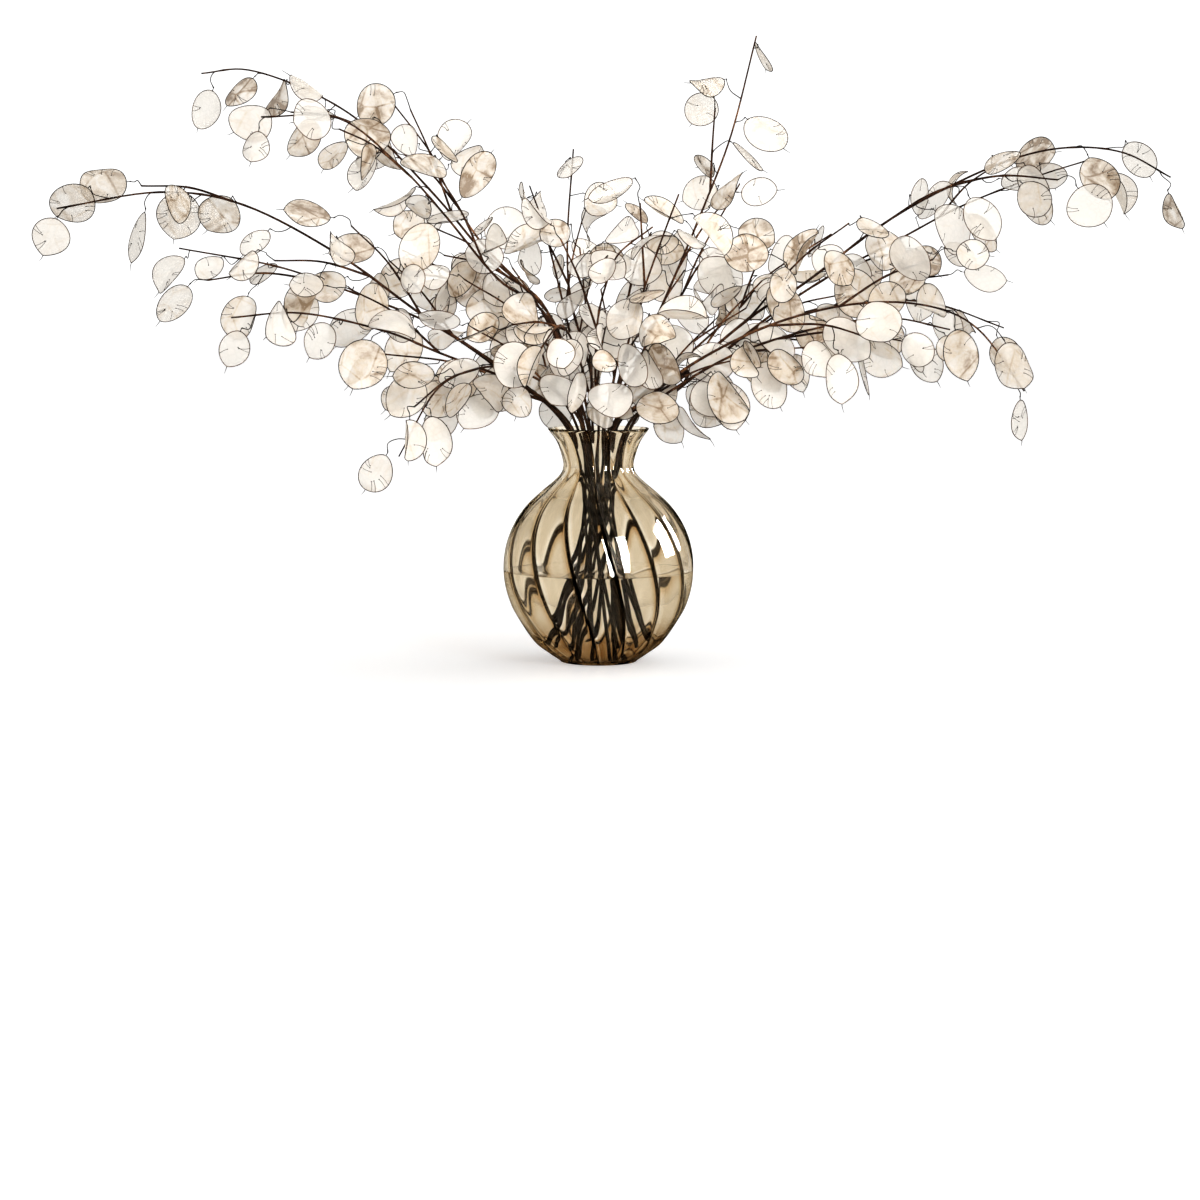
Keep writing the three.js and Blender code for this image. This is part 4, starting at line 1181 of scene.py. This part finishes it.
def add_lamp(name, place, target, size, watts, unseen_by, lit=()):
    """A lamp that no camera sees. Where `lit` names pieces, it lights them alone."""
    lamp = bpy.data.lights.new(name, "AREA")
    lamp.shape = "RECTANGLE"
    lamp.size, lamp.size_y = size
    lamp.energy = watts
    obj = bpy.data.objects.new(name, lamp)
    bpy.context.scene.collection.objects.link(obj)
    obj.location = place
    way = Vector(np.subtract(target, place))
    obj.rotation_euler = way.to_track_quat("-Z", "Y").to_euler()
    for rays in ("camera", *unseen_by):
        setattr(obj, "visible_" + rays, False)
    if lit:
        only = bpy.data.collections.new(name)
        for shown in lit:
            only.objects.link(shown)
        obj.light_linking.receiver_collection = only
    return obj


def set_up_light():
    view, cycles = bpy.context.scene.view_settings, bpy.context.scene.cycles
    view.view_transform = "Standard"
    view.look = "Medium High Contrast"
    cycles.max_bounces = 24
    cycles.transmission_bounces = 18
    cycles.transparent_max_bounces = 48
    cycles.glossy_bounces = 6
    cycles.diffuse_bounces = 8
    cycles.caustics_reflective = False
    cycles.caustics_refractive = False


# ---------- making it
def add_stems():
    skin, rim, bark = skin_material(), rim_material(), bark_material()
    chance = np.random.default_rng(LOOK_SEED)
    made = []
    for stem in grow_bunch():
        stem_piece = piece(bark_form(stem).mesh(stem.name + "_bark"), bark)
        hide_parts(stem.name)
        skins, rims = Form(), Form()
        for pod in stem.pods:
            add_pod(skins, rims, pod, chance)
        made += [stem_piece, piece(skins.mesh(stem.name + "_skins"), skin),
                 piece(rims.mesh(stem.name + "_rims"), rim)]
    return made


def add_pod(skins, rims, pod, chance):
    pod.length *= POD_SWELL
    pod.width *= POD_SWELL
    shape = pod_shape(pod, chance)
    dark = mix(STALK_TONE, 1, shape.tone)
    add_skin(skins, pod, shape)
    add_stalk(rims, pod, dark, chance)
    add_rim(rims, pod, shape)
    add_beak(rims, pod, shape, dark, chance)
    add_threads(rims, pod, shape, chance)


def add_vase():
    outside = outside_profile()
    glass = turned_mesh("vase_glass", [*outside, *inside_profile()], len(outside))
    vase = piece(glass, glass_material())
    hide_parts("vase")
    water = piece(turned_mesh("vase_water", water_profile()), water_material())
    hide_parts("water")
    return vase


add_camera()
add_world()
add_floor()
for lamp in ROOM_LAMPS:
    add_lamp(*lamp)
spray = add_stems()
vase = add_vase()
add_lamp(*FILL, spray).data.spread = math.radians(FILL_SPREAD)
for lamp in GLINTS:
    add_lamp(*lamp, [vase])
set_up_light()
